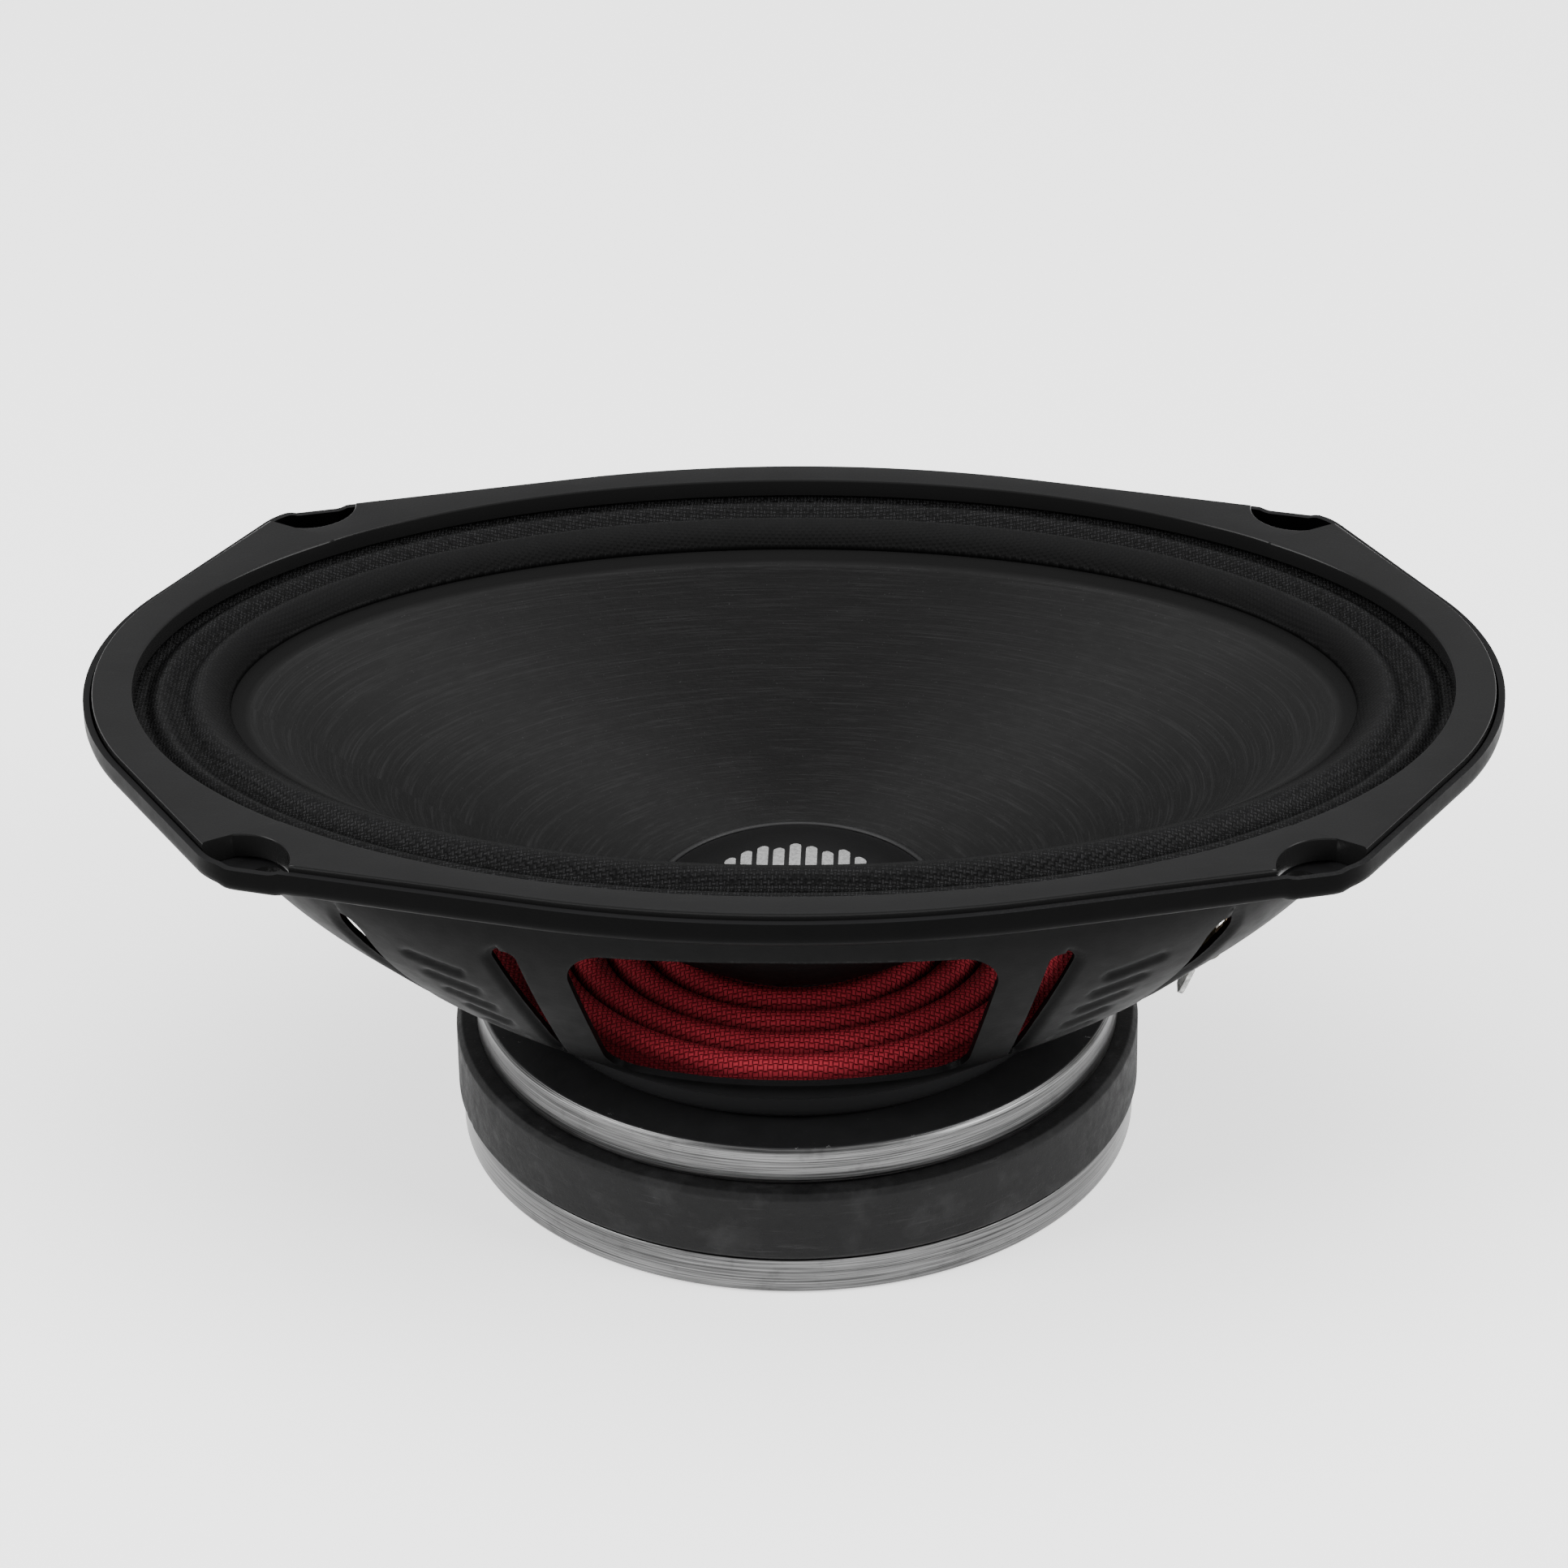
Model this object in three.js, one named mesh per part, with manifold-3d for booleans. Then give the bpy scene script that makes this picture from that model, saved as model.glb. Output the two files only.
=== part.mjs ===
// Oval 6 x 9 inch loudspeaker, as an assembly of its separate pieces, in millimetres.
// +Z is the direction the cone faces, +X the long axis (the terminal end), and the origin is
// the bottom centre of the back plate.
import * as THREE from "three";
import { mergeVertices } from "three/addons/utils/BufferGeometryUtils.js";
import Module from "manifold-3d";

const wasm = await Module();
wasm.setup();

// ---------- driving dimensions ----------

const AROUND = 60; // steps round the oval rings
const AROUND_SMALL = 40; // steps round the magnet and coil parts
const OUTLINE_STEPS = 7; // steps along each rounded corner of the flange, twice that on an arc
const GLUE = 0.2; // glue line between stacked or bonded pieces
const FIT = 0.3; // clearance between pieces that sit in each other

// Magnet stack, from the bottom up
const BACK_PLATE = { radius: 57.3, thickness: 6.4, chamfer: 0.6 };
const POLE = { radius: 18.4, top: 26.4, vent: 8 };
const MAGNET = { radius: 58.1, inner: 27, bottom: BACK_PLATE.thickness + GLUE, top: 19.8 - GLUE };
const TOP_PLATE = { radius: 54.6, inner: 20.9, bottom: 19.8, top: 26.4, chamfer: 1.2 };

// Basket
const SHEET = 1.2; // pressed steel
const CUP = { radius: 46.5, bottom: TOP_PLATE.top + GLUE, hole: 27 };
const LEDGE = { radius: 50, bottom: 32.6, top: 33.8 };
const FLANGE = { bottom: 78.5, floor: 79.5, rimTop: 83, rim: 0.9, foot: 0.6 };
const COLLAR = { x: 83.1, y: 55.6, radius: 6, drop: 0.5 }; // pressed boss round each screw hole
const RIVET = { ring: 36, shank: 2, head: 4, headHeight: 1.6, depth: 4 }; // basket to top plate
// Outer face of the oval wall: half length a, half width b, squareness n, height z
const WALL = [
  { a: 102.5, b: 71.2, n: 2.3, z: 79 },
  { a: 98, b: 68, n: 2.42, z: 70 },
  { a: 88, b: 62.4, n: 2.42, z: 58 },
  { a: 68, b: 53.7, n: 2.14, z: 40 },
  { a: LEDGE.radius, b: LEDGE.radius, n: 2, z: LEDGE.bottom + 0.4 },
];

// Gasket outline, one quarter: an end arc, a corner of two straight lines, a flat side arc
const END_ARC = { centre: 63.2, radius: 53.1, sweep: THREE.MathUtils.degToRad(32) };
const SIDE_ARC = { centre: 93.2, radius: 167.8, reach: 40 };
const CORNER = { x: 90, y: 57.6 };
const POCKET = { x: 86, y: 59.3, radius: 8.3 };
const SCREW = { x: 81.8, y: 55.6, radius: 2.75 };
const OPENING = { a: 109.3, b: 69 };
const GASKET = { bottom: FLANGE.floor + GLUE, lip: 80.8, top: 84 };

// Moving parts
const SURROUND_THICK = 0.7;
const SURROUND_LIP = 3.2; // reach of its outer lip under the gasket
const CONE_THICK = 0.9;
const CONE_RIM = { a: 90.1, b: 49.8, z: 77.6 };
const CONE_FOOT = { radius: 24.5, z: 40 };
const CONE_BEND = 1.2; // 1 is a straight-sided cone
const NECK = { radius: 19.9, z: 36.6 };
const DOME = { radius: 24.2, z: 40.4, height: 8.4, thickness: 0.8 };
const FORMER = { inner: 19.1, outer: 19.5, bottom: 12.6, top: 39.2 };
const WINDING = { inner: FORMER.outer + 0.1, outer: 20.2, bottom: 15.1, top: 31.1 };
const SPIDER = { inner: 19.8, outer: 48.4, landing: 45.6, z: 35.6, pitch: 6.5, wave: 1.3, thickness: 0.8 };

// Terminal end. The board and tabs lie along the wall's lowest flare under the end window:
// start, end, bend and at are distances outwards from the ledge's edge.
const BOARD = { width: 30, start: 8, end: 22, thickness: 1.6, gap: 0.6 };
const TAB = { y: 12, width: 4.8, thickness: 0.8, start: 10, bend: 16.4, tipX: 64.2, tipZ: 30.8 };
const TAB_RIVET = { shank: 1, head: 1.9, at: 13 };
const LEAD = { radius: 0.7, y: 7.5, eyeletX: 45 };

// ---------- helpers: meshes to solids and back ----------

function toSolid(geometry) {
  const bare = geometry.index ? geometry.toNonIndexed() : geometry.clone();
  bare.deleteAttribute("normal");
  bare.deleteAttribute("uv");
  const merged = mergeVertices(bare, 1e-4);
  const mesh = new wasm.Mesh({
    numProp: 3,
    vertProperties: merged.attributes.position.array,
    triVerts: new Uint32Array(merged.index.array),
  });
  return new wasm.Manifold(mesh);
}

function toGeometry(solid) {
  const mesh = solid.getMesh();
  const geometry = new THREE.BufferGeometry();
  geometry.setAttribute("position", new THREE.BufferAttribute(mesh.vertProperties, 3));
  geometry.setIndex(new THREE.BufferAttribute(mesh.triVerts, 1));
  geometry.computeVertexNormals();
  return geometry;
}

const join = (first, ...others) =>
  toGeometry(others.reduce((all, next) => all.add(toSolid(next)), toSolid(first)));

const cut = (body, ...tools) =>
  toGeometry(tools.reduce((left, tool) => left.subtract(toSolid(tool)), toSolid(body)));

// Turns a profile of [radius, height] points, anticlockwise, about Z.
function turned(profile, steps = AROUND_SMALL) {
  const points = profile.map(([radius, height]) => new THREE.Vector2(radius, height));
  points.push(points[0].clone());
  const geometry = new THREE.LatheGeometry(points, steps);
  geometry.rotateX(Math.PI / 2);
  return geometry;
}

function cylinder(radius, bottom, top, steps = 16) {
  const geometry = new THREE.CylinderGeometry(radius, radius, top - bottom, steps);
  geometry.rotateX(Math.PI / 2);
  geometry.translate(0, 0, (bottom + top) / 2);
  return geometry;
}

// Extrudes a shape drawn in X and Y upwards.
function raised(shape, bottom, top, curveSegments = 10) {
  const options = { depth: top - bottom, bevelEnabled: false, curveSegments };
  const geometry = new THREE.ExtrudeGeometry(shape, options);
  geometry.translate(0, 0, bottom);
  return geometry;
}

// Extrudes a shape drawn in X and Z from the front (low Y) to the back.
function across(shape, front, back, curveSegments = 6) {
  const options = { depth: back - front, bevelEnabled: false, curveSegments };
  const geometry = new THREE.ExtrudeGeometry(shape, options);
  geometry.rotateX(Math.PI / 2);
  geometry.translate(0, back, 0);
  return geometry;
}

// A ring skinned over closed oval loops. The loops go round the section, the last joins the first.
function ovalRing(loops, steps = AROUND) {
  const positions = [];
  const index = [];
  for (const { a, b, n = 2, z } of loops) {
    for (let i = 0; i < steps; i++) {
      const angle = (2 * Math.PI * i) / steps;
      const c = Math.cos(angle);
      const s = Math.sin(angle);
      const x = a * Math.sign(c) * Math.abs(c) ** (2 / n);
      const y = b * Math.sign(s) * Math.abs(s) ** (2 / n);
      positions.push(x, y, z);
    }
  }
  for (let k = 0; k < loops.length; k++) {
    const low = k * steps;
    const high = ((k + 1) % loops.length) * steps;
    for (let i = 0; i < steps; i++) {
      const j = (i + 1) % steps;
      index.push(low + i, low + j, high + j, low + i, high + j, high + i);
    }
  }
  const geometry = new THREE.BufferGeometry();
  geometry.setAttribute("position", new THREE.Float32BufferAttribute(positions, 3));
  geometry.setIndex(index);
  geometry.computeVertexNormals();
  return geometry;
}

// A polygon with every corner rounded, by no more than its shorter side allows.
function roundedShape(corners, radius) {
  const shape = new THREE.Shape();
  corners.forEach((corner, i) => {
    const here = new THREE.Vector2(...corner);
    const before = new THREE.Vector2(...corners[(i + corners.length - 1) % corners.length]);
    const after = new THREE.Vector2(...corners[(i + 1) % corners.length]);
    const back = Math.min(radius, 0.45 * here.distanceTo(before), 0.45 * here.distanceTo(after));
    const start = here.clone().add(before.sub(here).setLength(back));
    const end = here.clone().add(after.sub(here).setLength(back));
    if (i === 0) shape.moveTo(start.x, start.y);
    else shape.lineTo(start.x, start.y);
    shape.quadraticCurveTo(here.x, here.y, end.x, end.y);
  });
  shape.closePath();
  return shape;
}

const QUARTERS = [
  [1, 1],
  [-1, 1],
  [-1, -1],
  [1, -1],
];

// One copy of what `make` builds at each of the four mirrored places.
const atCorners = ({ x, y }, make) => QUARTERS.map(([sx, sy]) => make().translate(sx * x, sy * y, 0));

const group = new THREE.Group();

function addPart(name, geometry, color, roughness, metalness = 0, parent = group) {
  const material = new THREE.MeshStandardMaterial({ color, roughness, metalness });
  const mesh = new THREE.Mesh(geometry, material);
  mesh.name = name;
  parent.add(mesh);
  return mesh;
}

// ---------- outline shared by the gasket and the flange ----------

// The outline moved outwards by `offset`, with its corners filleted by `fillet`.
function flangeOutline(offset, fillet) {
  const end = END_ARC.radius + offset;
  const side = SIDE_ARC.radius + offset;
  const lean = Math.asin(SIDE_ARC.reach / SIDE_ARC.radius);
  const tip = new THREE.Vector2(CORNER.x, CORNER.y);
  const half = (Math.PI / 2 - END_ARC.sweep - lean) / 2;
  const outwards = new THREE.Vector2(Math.sin(lean + half), Math.cos(lean + half));
  tip.addScaledVector(outwards, offset / Math.cos(half));
  const back = fillet * Math.tan(half);
  const alongSide = new THREE.Vector2(-Math.cos(lean), Math.sin(lean));
  const alongEnd = new THREE.Vector2(Math.sin(END_ARC.sweep), -Math.cos(END_ARC.sweep));
  const sideFoot = tip.clone().addScaledVector(alongSide, back);
  const endFoot = tip.clone().addScaledVector(alongEnd, back);

  const shape = new THREE.Shape();
  const sweep = END_ARC.sweep;
  shape.absarc(END_ARC.centre, 0, end, -sweep, sweep, false);
  shape.lineTo(endFoot.x, endFoot.y);
  shape.quadraticCurveTo(tip.x, tip.y, sideFoot.x, sideFoot.y);
  shape.absarc(0, -SIDE_ARC.centre, side, Math.PI / 2 - lean, Math.PI / 2 + lean, false);
  shape.lineTo(-sideFoot.x, sideFoot.y);
  shape.quadraticCurveTo(-tip.x, tip.y, -endFoot.x, endFoot.y);
  shape.absarc(-END_ARC.centre, 0, end, Math.PI - sweep, Math.PI + sweep, false);
  shape.lineTo(-endFoot.x, -endFoot.y);
  shape.quadraticCurveTo(-tip.x, -tip.y, -sideFoot.x, -sideFoot.y);
  shape.absarc(0, SIDE_ARC.centre, side, -Math.PI / 2 - lean, -Math.PI / 2 + lean, false);
  shape.lineTo(sideFoot.x, -sideFoot.y);
  shape.quadraticCurveTo(tip.x, -tip.y, endFoot.x, -endFoot.y);
  shape.closePath();
  return shape;
}

// An ellipse as a hole of straight steps, so that its own count of steps is kept.
function ovalHole({ a, b }) {
  const curve = new THREE.EllipseCurve(0, 0, a, b, 0, 2 * Math.PI, true);
  return new THREE.Path(curve.getPoints(AROUND));
}

// ---------- magnet stack ----------

function backPlate() {
  const { radius, thickness, chamfer } = BACK_PLATE;
  const profile = [
    [POLE.vent, 0],
    [radius - chamfer, 0],
    [radius, chamfer],
    [radius, thickness],
    [POLE.radius, thickness],
    [POLE.radius, POLE.top - 0.8],
    [POLE.radius - 0.8, POLE.top],
    [POLE.vent, POLE.top],
  ];
  return turned(profile);
}

function magnet() {
  const { radius, inner, bottom, top } = MAGNET;
  const edge = 0.8;
  const profile = [
    [inner, bottom],
    [radius - edge, bottom],
    [radius, bottom + edge],
    [radius, top - edge],
    [radius - edge, top],
    [inner, top],
  ];
  return turned(profile);
}

function topPlate() {
  const { radius, inner, bottom, top, chamfer } = TOP_PLATE;
  const profile = [
    [inner, bottom],
    [radius, bottom],
    [radius, top - chamfer],
    [radius - chamfer, top],
    [inner, top],
  ];
  const sockets = rivetPlaces().map(([x, y]) =>
    cylinder(RIVET.shank + FIT, top - RIVET.depth, top + 1, 12).translate(x, y, 0),
  );
  return cut(turned(profile), ...sockets);
}

// ---------- basket ----------

function rivetPlaces() {
  const reach = RIVET.ring * Math.SQRT1_2;
  return QUARTERS.map(([sx, sy]) => [sx * reach, sy * reach]);
}

function basketWall() {
  const outer = WALL.slice();
  const foot = [
    { a: LEDGE.radius - 0.4, b: LEDGE.radius - 0.4, z: LEDGE.bottom },
    { a: CUP.radius, b: CUP.radius, z: LEDGE.bottom },
    { a: CUP.radius, b: CUP.radius, z: CUP.bottom },
    { a: CUP.hole, b: CUP.hole, z: CUP.bottom },
    { a: CUP.hole, b: CUP.hole, z: CUP.bottom + SHEET },
    { a: CUP.radius - SHEET, b: CUP.radius - SHEET, z: CUP.bottom + SHEET },
    { a: CUP.radius - SHEET, b: CUP.radius - SHEET, z: LEDGE.top },
    { a: LEDGE.radius - SHEET, b: LEDGE.radius - SHEET, z: LEDGE.top },
  ];
  // The inner face: the wall leans by about 45 degrees at its ends and 25 at its sides.
  const inner = WALL.slice(1, 4).reverse();
  const inside = inner.map(({ a, b, n, z }) => ({
    a: a - 0.8 * SHEET,
    b: b - 0.9 * SHEET,
    n,
    z: z + 0.7 * SHEET,
  }));
  inside.push({ a: WALL[0].a - SHEET, b: WALL[0].b - SHEET, n: WALL[0].n, z: WALL[0].z });
  return ovalRing([...outer, ...foot, ...inside].reverse());
}

function flangeTray() {
  const { bottom, floor, rimTop, rim, foot } = FLANGE;
  const sole = raised(flangeOutline(foot, 10), bottom, floor, OUTLINE_STEPS);
  const block = raised(flangeOutline(FIT + rim, 10), floor - 0.3, rimTop, OUTLINE_STEPS);
  const well = raised(flangeOutline(FIT, 10), floor, rimTop + 1, OUTLINE_STEPS);
  const { a, b, n } = WALL[0];
  const hole = ovalPlug(a - SHEET / 2, b - SHEET / 2, n, bottom - 1, floor + 1);
  return cut(join(sole, block), well, hole);
}

// A solid oval disc, for cutting.
function ovalPlug(a, b, n, bottom, top) {
  const shape = new THREE.Shape();
  for (let i = 0; i < AROUND; i++) {
    const angle = (2 * Math.PI * i) / AROUND;
    const c = Math.cos(angle);
    const s = Math.sin(angle);
    const x = a * Math.sign(c) * Math.abs(c) ** (2 / n);
    const y = b * Math.sign(s) * Math.abs(s) ** (2 / n);
    if (i === 0) shape.moveTo(x, y);
    else shape.lineTo(x, y);
  }
  shape.closePath();
  return raised(shape, bottom, top);
}

// The openings in the wall: a large window on each of the four sides, a narrow slot either side
// of each. The slots by the large side windows and the windows themselves are cut straight
// through, front to back or end to end, and the slots by the end windows straight down.
function windowTools() {
  const side = roundedShape(
    [
      [-28.6, 37.6],
      [28.6, 37.6],
      [35.4, 71.2],
      [-35.4, 71.2],
    ],
    7,
  );
  const end = roundedShape(
    [
      [-25.5, 42.6],
      [25.5, 42.6],
      [29, 70.5],
      [-29, 70.5],
    ],
    4,
  );
  const tools = [across(side, -80, 80), across(end, -115, 115).rotateZ(Math.PI / 2)];
  for (const sign of [1, -1]) {
    const slot = roundedShape(
      [
        [sign * 35.6, 38.8],
        [sign * 37.2, 38.8],
        [sign * 47.4, 70],
        [sign * 42, 70],
      ],
      2.2,
    );
    tools.push(across(slot, -80, 80));
  }
  for (const [sx, sy] of QUARTERS) {
    const slot = roundedShape(
      [
        [sx * 56.4, sy * 36],
        [sx * 68, sy * 53.6],
        [sx * 73, sy * 49.4],
        [sx * 58.6, sy * 34.6],
      ],
      2,
    );
    tools.push(raised(slot, LEDGE.top + 4, 74, 4));
  }
  return tools;
}

function basket() {
  const { bottom, rimTop } = FLANGE;
  const collars = atCorners(COLLAR, () => cylinder(COLLAR.radius, bottom - COLLAR.drop, bottom + 0.5));
  const screws = atCorners(SCREW, () => cylinder(SCREW.radius, bottom - 2, rimTop));
  const body = join(basketWall(), flangeTray(), ...collars);
  const studs = rivetPlaces().map(([x, y]) =>
    cylinder(RIVET.shank + FIT, CUP.bottom - 1, CUP.bottom + 3, 12).translate(x, y, 0),
  );
  return cut(body, ...windowTools(), ...screws, ...studs);
}

function basketRivet() {
  const seat = CUP.bottom + SHEET + GLUE;
  const profile = [
    [0, TOP_PLATE.top - RIVET.depth + FIT],
    [RIVET.shank, TOP_PLATE.top - RIVET.depth + FIT],
    [RIVET.shank, seat],
    [RIVET.head, seat],
    [RIVET.head - 1, seat + RIVET.headHeight],
    [0, seat + RIVET.headHeight],
  ];
  return turned(profile, 12);
}

// The ring lies on the flange's floor, with a rabbet over the surround's outer lip.
function gasket() {
  const shape = flangeOutline(0, 1);
  shape.holes.push(ovalHole(OPENING));
  const ring = raised(shape, GASKET.bottom, GASKET.top, OUTLINE_STEPS);
  const { a, b } = inset(-SURROUND_LIP - 0.5);
  const rabbet = ovalPlug(a, b, 2, GASKET.bottom - 1, GASKET.lip);
  const pockets = atCorners(POCKET, () => cylinder(POCKET.radius, 70, 90, 24));
  return cut(ring, rabbet, ...pockets);
}

// ---------- moving parts ----------

// Oval loop `inwards` of the gasket's inner edge.
const inset = (inwards, z) => ({ a: OPENING.a - inwards, b: OPENING.b - inwards, z });

function surround() {
  // [distance inwards, top face height]
  const top = [
    [-SURROUND_LIP, 80.5],
    [2.2, 80.4],
    [4.3, 81.7],
    [6.6, 80.4],
    [8.2, 80.3],
    [10, 81.9],
    [11.5, 82.3],
    [13.8, 81.2],
    [16, 79.6],
  ];
  const upper = top.map(([s, z]) => inset(s, z));
  const lower = top.map(([s, z]) => inset(s, z - SURROUND_THICK)).reverse();
  return ovalRing([...upper, ...lower]);
}

// Loop of the cone's paper at `t`, from 0 at the foot circle to 1 at the rim.
function coneLoop(t, lower) {
  return {
    a: CONE_FOOT.radius + (CONE_RIM.a - CONE_FOOT.radius) * t,
    b: CONE_FOOT.radius + (CONE_RIM.b - CONE_FOOT.radius) * t,
    z: CONE_FOOT.z + (CONE_RIM.z - CONE_FOOT.z) * t ** CONE_BEND - lower,
  };
}

function cone() {
  const down = 1.5 * CONE_THICK; // measured straight down on the leaning wall
  const upper = [inset(13.6, 79.9), inset(16.2, 78.7)];
  const lower = [inset(13.6, 79.9 - CONE_THICK), inset(16.2, 78.7 - CONE_THICK)];
  for (const t of [1, 0.75, 0.5, 0.25, 0]) {
    upper.push(coneLoop(t, 0));
    lower.push(coneLoop(t, down));
  }
  upper.push({ a: NECK.radius, b: NECK.radius, z: NECK.z + down });
  lower.push({ a: NECK.radius, b: NECK.radius, z: NECK.z });
  return ovalRing([...upper, ...lower.reverse()]);
}

function dustCap() {
  const { radius, z, height, thickness } = DOME;
  const steps = 6;
  const outer = [];
  const inner = [];
  for (let i = 0; i <= steps; i++) {
    const part = i / steps;
    const rise = 1 - part * part;
    outer.push([radius * part, z + height * rise]);
    inner.push([(radius - thickness) * part, z + (height - thickness) * rise]);
  }
  return turned([...inner, ...outer.reverse()], 40);
}

function tube({ inner, outer, bottom, top }) {
  return turned([
    [inner, bottom],
    [outer, bottom],
    [outer, top],
    [inner, top],
  ]);
}

function spider() {
  const { inner, outer, landing, z, pitch, wave, thickness } = SPIDER;
  const upper = [[inner, z]];
  let side = 1;
  for (let radius = inner + 3.5; radius < landing - 2; radius += pitch / 2) {
    upper.push([radius, z + side * wave]);
    side = -side;
  }
  const seat = LEDGE.top + GLUE + thickness;
  upper.push([landing, seat], [outer, seat]);
  const lower = upper.map(([radius, height]) => [radius, height - thickness]);
  return turned([...lower, ...upper.reverse()]);
}

// ---------- terminal end ----------

const FLARE = { x: WALL[4].a, z: WALL[4].z };
const FLARE_LEAN = Math.atan((WALL[3].z - WALL[4].z) / (WALL[3].a - WALL[4].a));

// The point `along` the flare from its foot and `out` below it.
function flarePoint(along, out) {
  const c = Math.cos(FLARE_LEAN);
  const s = Math.sin(FLARE_LEAN);
  return [FLARE.x + along * c + out * s, FLARE.z + along * s - out * c];
}

function flarePin(radius, from, to, y) {
  const geometry = cylinder(radius, from, to, 10);
  geometry.rotateY(Math.PI - FLARE_LEAN);
  const [x, z] = flarePoint(TAB_RIVET.at, 0);
  geometry.translate(x, y, z);
  return geometry;
}

function terminalBoard() {
  const { width, start, end, thickness, gap } = BOARD;
  const shape = new THREE.Shape();
  shape.moveTo(...flarePoint(start, gap));
  shape.lineTo(...flarePoint(end, gap));
  shape.lineTo(...flarePoint(end, gap + thickness));
  shape.lineTo(...flarePoint(start, gap + thickness));
  shape.closePath();
  const board = across(shape, -width / 2, width / 2);
  const holes = [1, -1].map((side) =>
    flarePin(TAB_RIVET.shank + FIT, gap - 1, gap + thickness + 1, side * TAB.y),
  );
  return cut(board, ...holes);
}

// A spade tab: its foot lies on the board, its blade points down.
function terminalTab(side) {
  const y = side * TAB.y;
  const face = BOARD.gap + BOARD.thickness + GLUE;
  const under = face + TAB.thickness;
  const shape = new THREE.Shape();
  shape.moveTo(...flarePoint(TAB.start, face));
  shape.lineTo(...flarePoint(TAB.bend + 2 * TAB.thickness, face));
  shape.lineTo(TAB.tipX + TAB.thickness, TAB.tipZ);
  shape.lineTo(TAB.tipX, TAB.tipZ);
  shape.lineTo(...flarePoint(TAB.bend, under));
  shape.lineTo(...flarePoint(TAB.start, under));
  shape.closePath();
  const blade = across(shape, y - TAB.width / 2, y + TAB.width / 2);
  return cut(blade, flarePin(TAB_RIVET.shank + FIT, face - 1, under + 1, y));
}

function terminalRivet(side) {
  const out = BOARD.gap + BOARD.thickness + GLUE + TAB.thickness + GLUE;
  const y = side * TAB.y;
  const shank = flarePin(TAB_RIVET.shank, BOARD.gap, out + 0.5, y);
  const head = flarePin(TAB_RIVET.head, out, out + 0.9, y);
  return join(shank, head);
}

// Where the leads' eyelets sit under the cone: its loop parameter, and the paper's lower face.
function leadEnd() {
  const t = (LEAD.eyeletX - CONE_FOOT.radius) / (CONE_RIM.a - CONE_FOOT.radius);
  return { t, z: coneLoop(t, 1.5 * CONE_THICK).z };
}

// Flexible lead from the board, over the end window's sill, to the eyelet under the cone, with
// slack for the cone's travel.
function tinselLead(side) {
  const y = side * LEAD.y;
  const { z } = leadEnd();
  const route = new THREE.CatmullRomCurve3([
    new THREE.Vector3(70.9, y * 1.4, 40.9),
    new THREE.Vector3(72.6, y * 1.4, 43.4),
    new THREE.Vector3(71.4, y * 1.4, 46.2),
    new THREE.Vector3(67, y * 1.3, 46.8),
    new THREE.Vector3(60.5, y * 1.2, 44.6),
    new THREE.Vector3(53, y * 1.2, 42.2),
    new THREE.Vector3(47.5, y * 1.1, 42.8),
    new THREE.Vector3(LEAD.eyeletX + 0.6, y, z - 1.7),
  ]);
  const section = new THREE.Shape();
  section.absarc(0, 0, LEAD.radius, 0, 2 * Math.PI, false);
  const options = { steps: 20, curveSegments: 4, bevelEnabled: false, extrudePath: route };
  return new THREE.ExtrudeGeometry(section, options);
}

function leadEyelet(side) {
  const { t, z } = leadEnd();
  const rise = CONE_BEND * (CONE_RIM.z - CONE_FOOT.z) * t ** (CONE_BEND - 1);
  const slope = Math.atan(rise / (CONE_RIM.a - CONE_FOOT.radius));
  const disc = cylinder(2, -1.3, -0.5, 14);
  disc.rotateY(-slope);
  disc.translate(LEAD.eyeletX, side * LEAD.y, z);
  return disc;
}

// ---------- the assembly ----------

const STEEL = 0xa8a8a8;
const BLACK = 0x262628;

addPart("back_plate_pole", backPlate(), STEEL, 0.35, 0.9);
addPart("ferrite_magnet", magnet(), 0x303234, 0.75);
addPart("top_plate", topPlate(), STEEL, 0.35, 0.9);
addPart("basket", basket(), BLACK, 0.5, 0.3);
rivetPlaces().forEach(([x, y], i) => {
  addPart(`basket_rivet_${i + 1}`, basketRivet(), STEEL, 0.4, 0.8).position.set(x, y, 0);
});
addPart("gasket_ring", gasket(), 0x303032, 0.6);
addPart("surround", surround(), 0x1c1c1e, 0.9);
addPart("spider", spider(), 0x9c1e30, 0.9);

const mover = new THREE.Group();
group.add(mover);
addPart("cone", cone(), 0x2a2a2c, 0.8, 0, mover);
addPart("dust_cap", dustCap(), 0x2c2c2e, 0.7, 0, mover);
addPart("voice_coil_former", tube(FORMER), 0x8a6a40, 0.6, 0, mover);
addPart("voice_coil_winding", tube(WINDING), 0xb4622d, 0.4, 0.8, mover);

addPart("terminal_board", terminalBoard(), 0xb89a5c, 0.7);
for (const [side, pole] of [
  [1, "positive"],
  [-1, "negative"],
]) {
  addPart(`terminal_tab_${pole}`, terminalTab(side), STEEL, 0.35, 0.9);
  addPart(`terminal_rivet_${pole}`, terminalRivet(side), 0xb08d4a, 0.4, 0.9);
  addPart(`tinsel_lead_${pole}`, tinselLead(side), 0xb08d4a, 0.6, 0.5);
  addPart(`lead_eyelet_${pole}`, leadEyelet(side), 0xb08d4a, 0.4, 0.9, mover);
}

export default group;
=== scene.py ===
"""Oval car loudspeaker: the looks of the part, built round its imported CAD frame.

Every shown piece is made here as a fine mesh that stands for one CAD node and stays inside it. Lengths in
the tables are millimetres, and MM turns them into Blender's metres.
"""

import math

import bpy
import numpy as np
from mathutils import Matrix, Quaternion, Vector


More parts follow.
